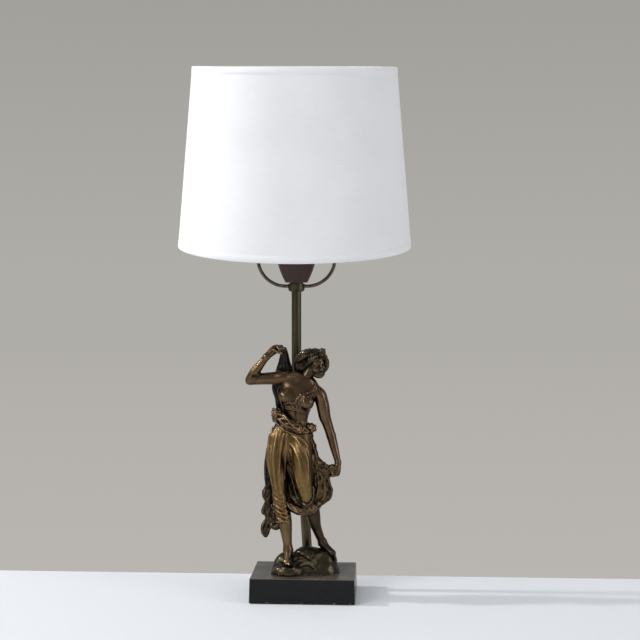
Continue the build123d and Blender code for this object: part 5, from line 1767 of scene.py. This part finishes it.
# %% The shade's axis
shade_turn = next(joint for joint in frame["joints"] if joint["name"] == "shade_turn")
PIVOT = np.array(shade_turn["pos_m"])
SHADE_UP = np.array(shade_turn["axis"]) / np.linalg.norm(shade_turn["axis"])
SHADE_SIDE = np.cross([0, 1, 0], SHADE_UP)
SHADE_SIDE = SHADE_SIDE / np.linalg.norm(SHADE_SIDE)
SHADE_BACK = np.cross(SHADE_UP, SHADE_SIDE)
cloth_node = nodes["shade_cloth"]
spots = np.array([v.co[:] for v in cloth_node.data.vertices]) - PIVOT
heights = spots @ SHADE_UP
radii = np.linalg.norm(spots - heights[:, None] * SHADE_UP, axis=1)
LOW = heights.min()
HIGH = heights.max()
R_LOW = radii[heights < LOW + 1e-4].max()
R_HIGH = radii[heights > HIGH - 1e-4].max()
print(f"shade: radius {R_LOW:.4f} to {R_HIGH:.4f}, height {HIGH - LOW:.4f}")

# %% [markdown]
# The cloth has a narrow folded rim at each end and one lapped seam at the back. It is lathed in
# code, because its shape is a rule: a thin wall whose outline swells a little at the rims. Its UV
# map is in metres, round and up, so the weave in its finish has the same size everywhere.


# %% The shade's wall
WALL = 1.2 * MM
RIM = 7 * MM
RIM_PROUD = 0.30 * MM
AROUND = 192
LAP = math.radians(90)  # the seam is at the back
LAP_WIDTH = 0.035  # in radians
LAP_PROUD = 0.25 * MM
RIM_EDGE = 0.0008  # the fold's rounding, as a share of the height
WALL_ROWS = 24


def shade_profile():
    """The wall's outline from bottom to top, as height and rim's thickness, both as shares."""
    rim = RIM / (HIGH - LOW)
    fold = [(0, 0.2), (RIM_EDGE, 1), (rim * 0.5, 1), (rim * 0.95, 1), (rim, 0.05)]
    plain = [(share, 0) for share in np.linspace(rim * 1.1, 1 - rim * 1.1, WALL_ROWS)]
    return fold + plain + [(1 - share, thick) for share, thick in reversed(fold)]


def lathe_shade():
    """The cloth's wall, outside and inside, closed over both rims."""
    rows = shade_profile()
    verts = []
    faces = []
    uvs = []
    loop = [(share, step * RIM_PROUD) for share, step in rows]
    loop += [(share, -WALL - step * RIM_PROUD * 0.5) for share, step in reversed(rows)]
    for share, step in loop:
        height = LOW + share * (HIGH - LOW)
        for i in range(AROUND):
            turn = 2 * math.pi * i / AROUND
            lap = LAP_PROUD * math.exp(-(((turn - LAP) / LAP_WIDTH) ** 2)) if step >= 0 else 0
            radius = R_LOW + (R_HIGH - R_LOW) * share + step + lap
            outward = math.cos(turn) * SHADE_SIDE + math.sin(turn) * SHADE_BACK
            verts.append(PIVOT + height * SHADE_UP + radius * outward)
    count = len(loop)
    for k in range(count):
        for i in range(AROUND):
            j = (i + 1) % AROUND
            m = (k + 1) % count
            faces.append((k * AROUND + i, k * AROUND + j, m * AROUND + j, m * AROUND + i))
            up_k, up_m = (loop[n][0] * (HIGH - LOW) for n in (k, m))
            round_i, round_j = (2 * math.pi * R_LOW * n / AROUND for n in (i, i + 1))
            uvs += [(round_i, up_k), (round_j, up_k), (round_j, up_m), (round_i, up_m)]
    mesh = bpy.data.meshes.new("shade_fabric")
    mesh.from_pydata([tuple(v) for v in verts], [], faces)
    mesh.uv_layers.new(name="weave").data.foreach_set("uv", np.array(uvs, np.float32).ravel())
    mesh.polygons.foreach_set("use_smooth", [True] * len(faces))
    return mesh


shade_fabric = bpy.data.objects.new("shade_fabric", lathe_shade())
bpy.context.collection.objects.link(shade_fabric)
print("shade wall:", len(shade_fabric.data.polygons), "faces")


# %% [markdown]
# The cloth's finish is woven from two sets of stretched noise, one for each way of the threads,
# with thicker slubs among them.


# %% Cloth
THREAD = 0.0005
SLUB = 0.0016


def cloth_material():
    """Fine linen: two sets of uneven threads in UV metres, and the cloud of an old shade."""
    looks = {"Roughness": 0.85, "Sheen_Weight": 0.2, "Specular_IOR_Level": 0.25}
    made, tree, shader = new_material("white_cloth", **looks)
    flat = add_node(tree, "ShaderNodeUVMap", uv_map="weave").outputs["UV"]
    upright = noise(tree, flat, THREAD, 2, 0.5, (1, 0.06, 1))
    level_ones = noise(tree, flat, THREAD, 2, 0.5, (0.06, 1, 1))
    weave = arith(tree, "MAXIMUM", upright, level_ones)
    slubs = arith(tree, "MULTIPLY", noise(tree, flat, SLUB, 3, 0.6, (0.10, 1, 1)), 0.35)
    tone = arith(tree, "MULTIPLY", noise(tree, flat, 0.05), 0.65)
    raised = arith(tree, "MULTIPLY", arith(tree, "SUBTRACT", weave, 0.55), 0.3)
    level = arith(tree, "ADD", arith(tree, "ADD", slubs, tone), raised)
    stops = [(0.3, (0.80, 0.795, 0.80)), (0.7, (0.86, 0.855, 0.86))]
    tree.links.new(ramp(tree, level, stops), shader.inputs["Base Color"])
    bump(tree, shader, weave, 0.00015, 0.3)
    return made


shade_fabric.data.materials.append(cloth_material())
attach(shade_fabric, "shade")
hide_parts("shade_cloth")


# %% [markdown]
# Last, the dressed lamp and the mechanical model are both measured. Both boxes are printed,
# because the looks must not change the lamp's size.

# %% Measure and finish
visual_box = [list(corner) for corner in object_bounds()]
print("CAD box", cad_box, "visual box", visual_box, "after", round(time.time() - started), "s")
